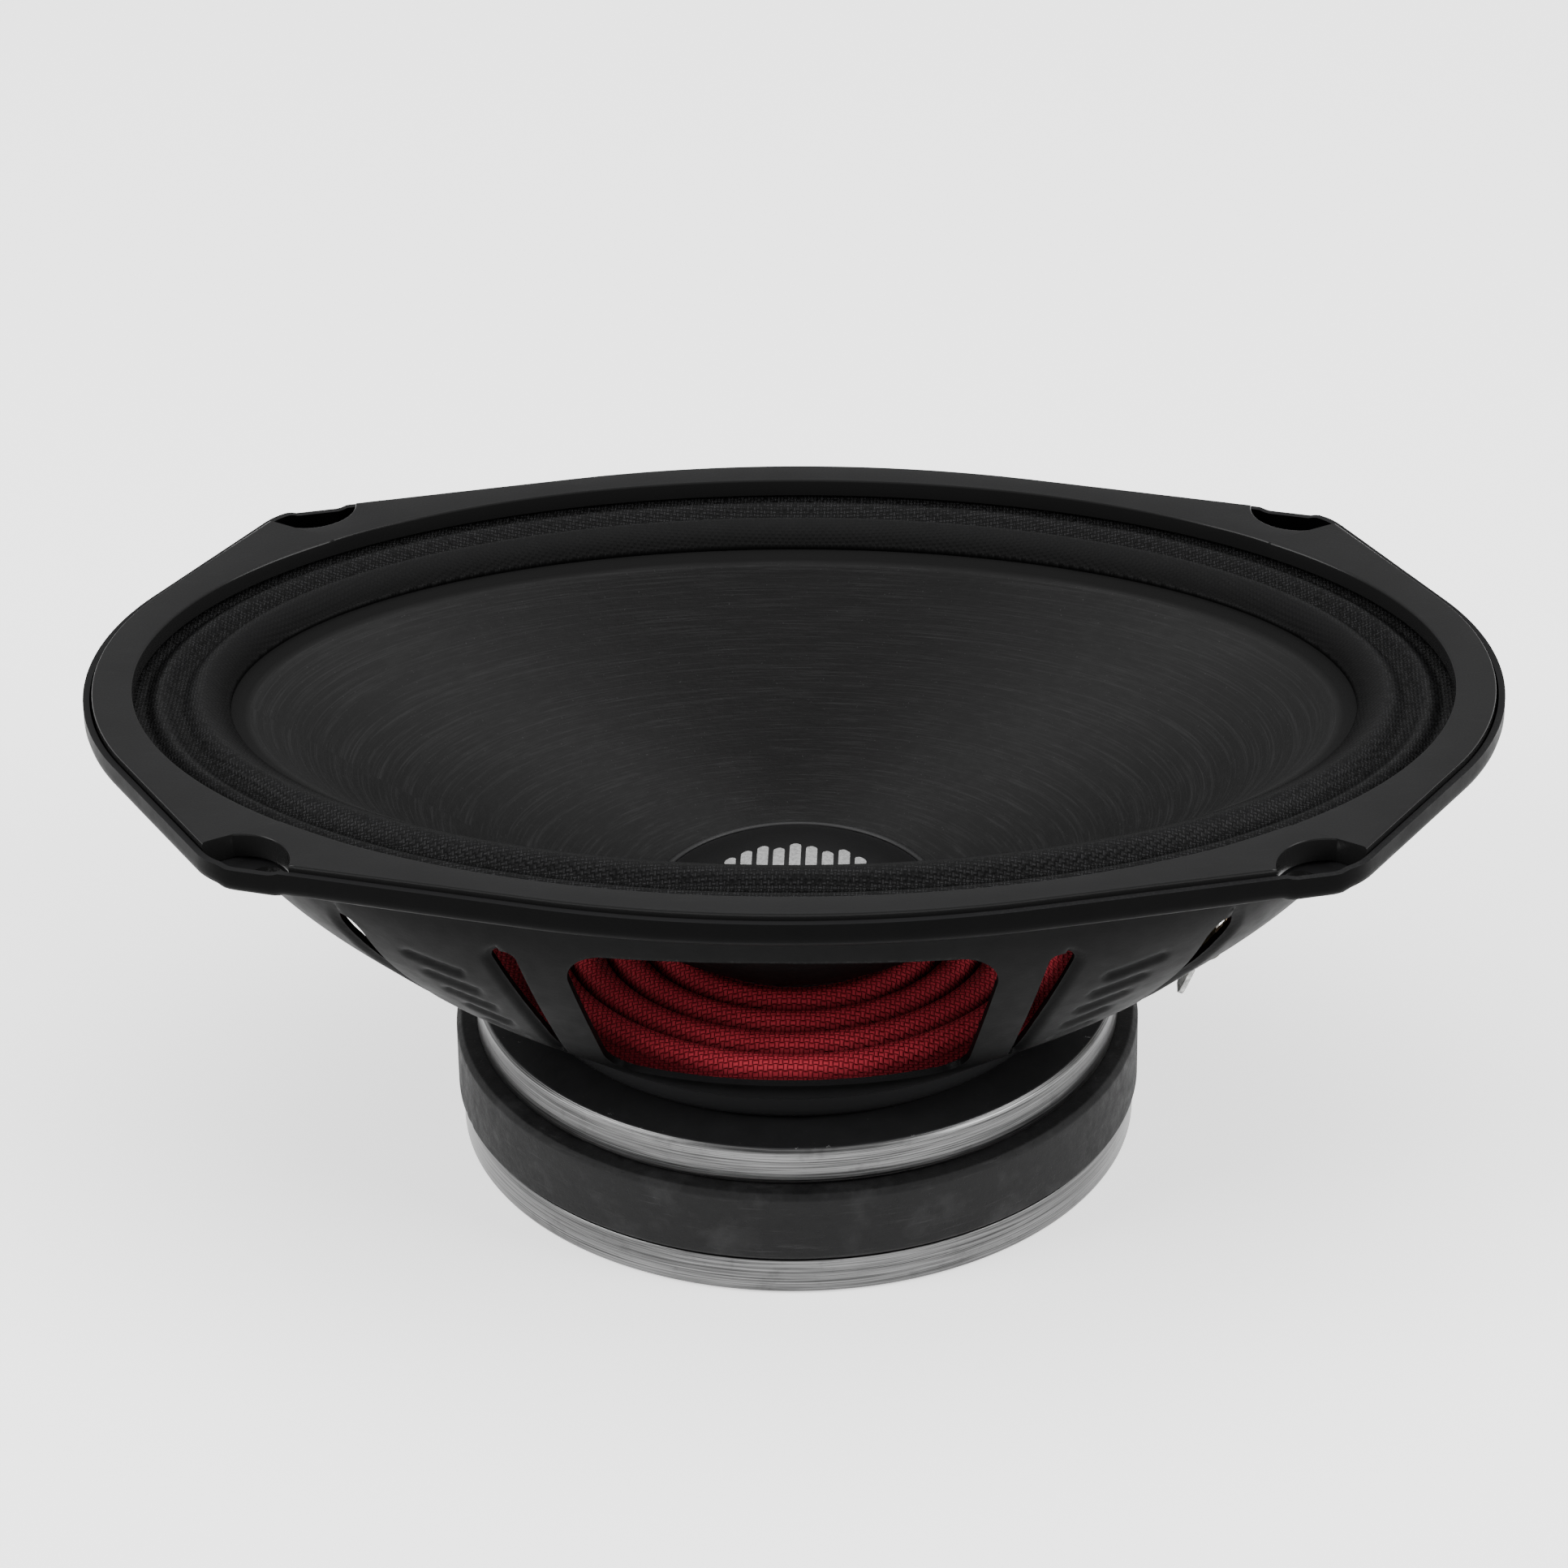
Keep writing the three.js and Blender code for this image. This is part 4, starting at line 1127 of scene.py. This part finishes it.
def former_sheet():
    f = Finish("former_aluminium", Metallic=1.0, Roughness=0.35)
    lines = f.noise(1, 3, 0.7, f.polar(20, 1, 0.3))
    return f.paint(f.mixed(lines, grey(0.4, 0.41), grey(0.68, 0.69)), None, (lines, 0.01))


def metal(name, dark, light, rough, size=1.2):
    """Tinned, plated or bare small metal parts."""
    f = Finish(name, Metallic=1.0)
    dull = f.between(f.noise(size, 5, 0.65), 0.35, 0.7)
    roughness = f.blend(dull, rough - 0.06, rough + 0.2)
    return f.paint(f.mixed(dull, light, dark), roughness, (f.noise(0.25, 3), 0.008))


def board_laminate():
    f = Finish("phenolic_board", Specular_IOR_Level=0.2)
    layers = f.noise(1, 3, 0.6, f.scaled(f.place, (1 / 0.8, 1 / 6, 1 / 0.12)))
    colour = f.mixed(layers, (0.02, 0.015, 0.006), (0.055, 0.042, 0.016))
    return f.paint(colour, f.blend(f.noise(1.5, 4), 0.38, 0.6), (layers, 0.02))


def floor_paint():
    f = Finish("studio_floor", Roughness=0.9, Emission_Color=(1, 1, 1, 1), Emission_Strength=1.0)
    f.set("Base Color", f.mixed(f.noise(400), grey(0.88), grey(0.92)))
    return f.material


# ---------- the part, put together ----------

basket(basket_paint())
gasket(gasket_plastic())
surround(surround_cloth())
cone(cone_paper())
cap = cap_paper()
dust_cap(cap)
glue_bead(cap)
emblem(emblem_ink())
spider(spider_cloth())
steel = turned_steel()
back_plate(steel)
top_plate(steel, plate_paint())
magnet(ferrite())
coil(former_sheet(), metal("enamelled_copper", (0.42, 0.16, 0.07), (0.72, 0.32, 0.15), 0.3))
tin = metal("tin_plate", grey(0.10), grey(0.38, 0.37), 0.28)
basket_rivets(tin)
brass = metal("brass", (0.42, 0.30, 0.12), (0.72, 0.56, 0.26), 0.3)
terminal_board(board_laminate())
terminal_tabs(tin, brass)
leads(metal("tinned_braid", (0.3, 0.2, 0.12), (0.62, 0.48, 0.34), 0.36, 0.3), brass)

# ---------- floor, light and camera ----------


def floor(material):
    side = 4000.0
    corners = [(-side, -side, -0.3), (side, -side, -0.3), (side, side, -0.3), (-side, side, -0.3)]
    new_object("studio_floor", corners, [(0, 1, 2, 3)], material)


def place(name, data, location, aim, roll=0.0):
    """Puts a lamp or a camera in the scene, turned towards a point."""
    made = bpy.data.objects.new(name, data)
    made.location = location
    made.rotation_mode = "QUATERNION"
    turn = (Vector(aim) - Vector(location)).to_track_quat("-Z", "Y")
    made.rotation_quaternion = turn @ Quaternion((0, 0, 1), roll)
    bpy.context.scene.collection.objects.link(made)
    return made


def soft_light(name, location, size, power):
    data = bpy.data.lights.new(name, "AREA")
    data.shape = "RECTANGLE"
    data.size, data.size_y = size
    data.energy = power
    place(name, data, location, (0, 0, 0.05))


def lights():
    world = bpy.data.worlds.new("studio")
    world.use_nodes = True
    background = world.node_tree.nodes["Background"]
    background.inputs["Color"].default_value = (1, 1, 1, 1)
    background.inputs["Strength"].default_value = 0.95
    bpy.context.scene.world = world
    soft_light("overhead", (0.0, 0.2, 1.3), (1.3, 0.9), 13)
    soft_light("left", (-1.15, -0.45, 0.75), (0.7, 0.9), 23)
    soft_light("right", (1.15, -0.35, 0.75), (0.7, 0.9), 23)


def camera():
    """The camera looks down at the front edge, turned slightly towards +X."""
    target = Vector((-1.65, 0, 63.2)) * MM
    distance, azimuth, elevation = 1.0544, math.radians(2.16), math.radians(30.77)
    level = math.cos(elevation)
    towards = Vector((math.sin(azimuth) * level, -math.cos(azimuth) * level, math.sin(elevation)))
    data = bpy.data.cameras.new("camera")
    data.lens = 144.9
    data.sensor_width = 36.0
    data.clip_start, data.clip_end = 0.05, 50
    bpy.context.scene.camera = place("camera", data, target + towards * distance, target, -0.0156)


floor(floor_paint())
lights()
camera()
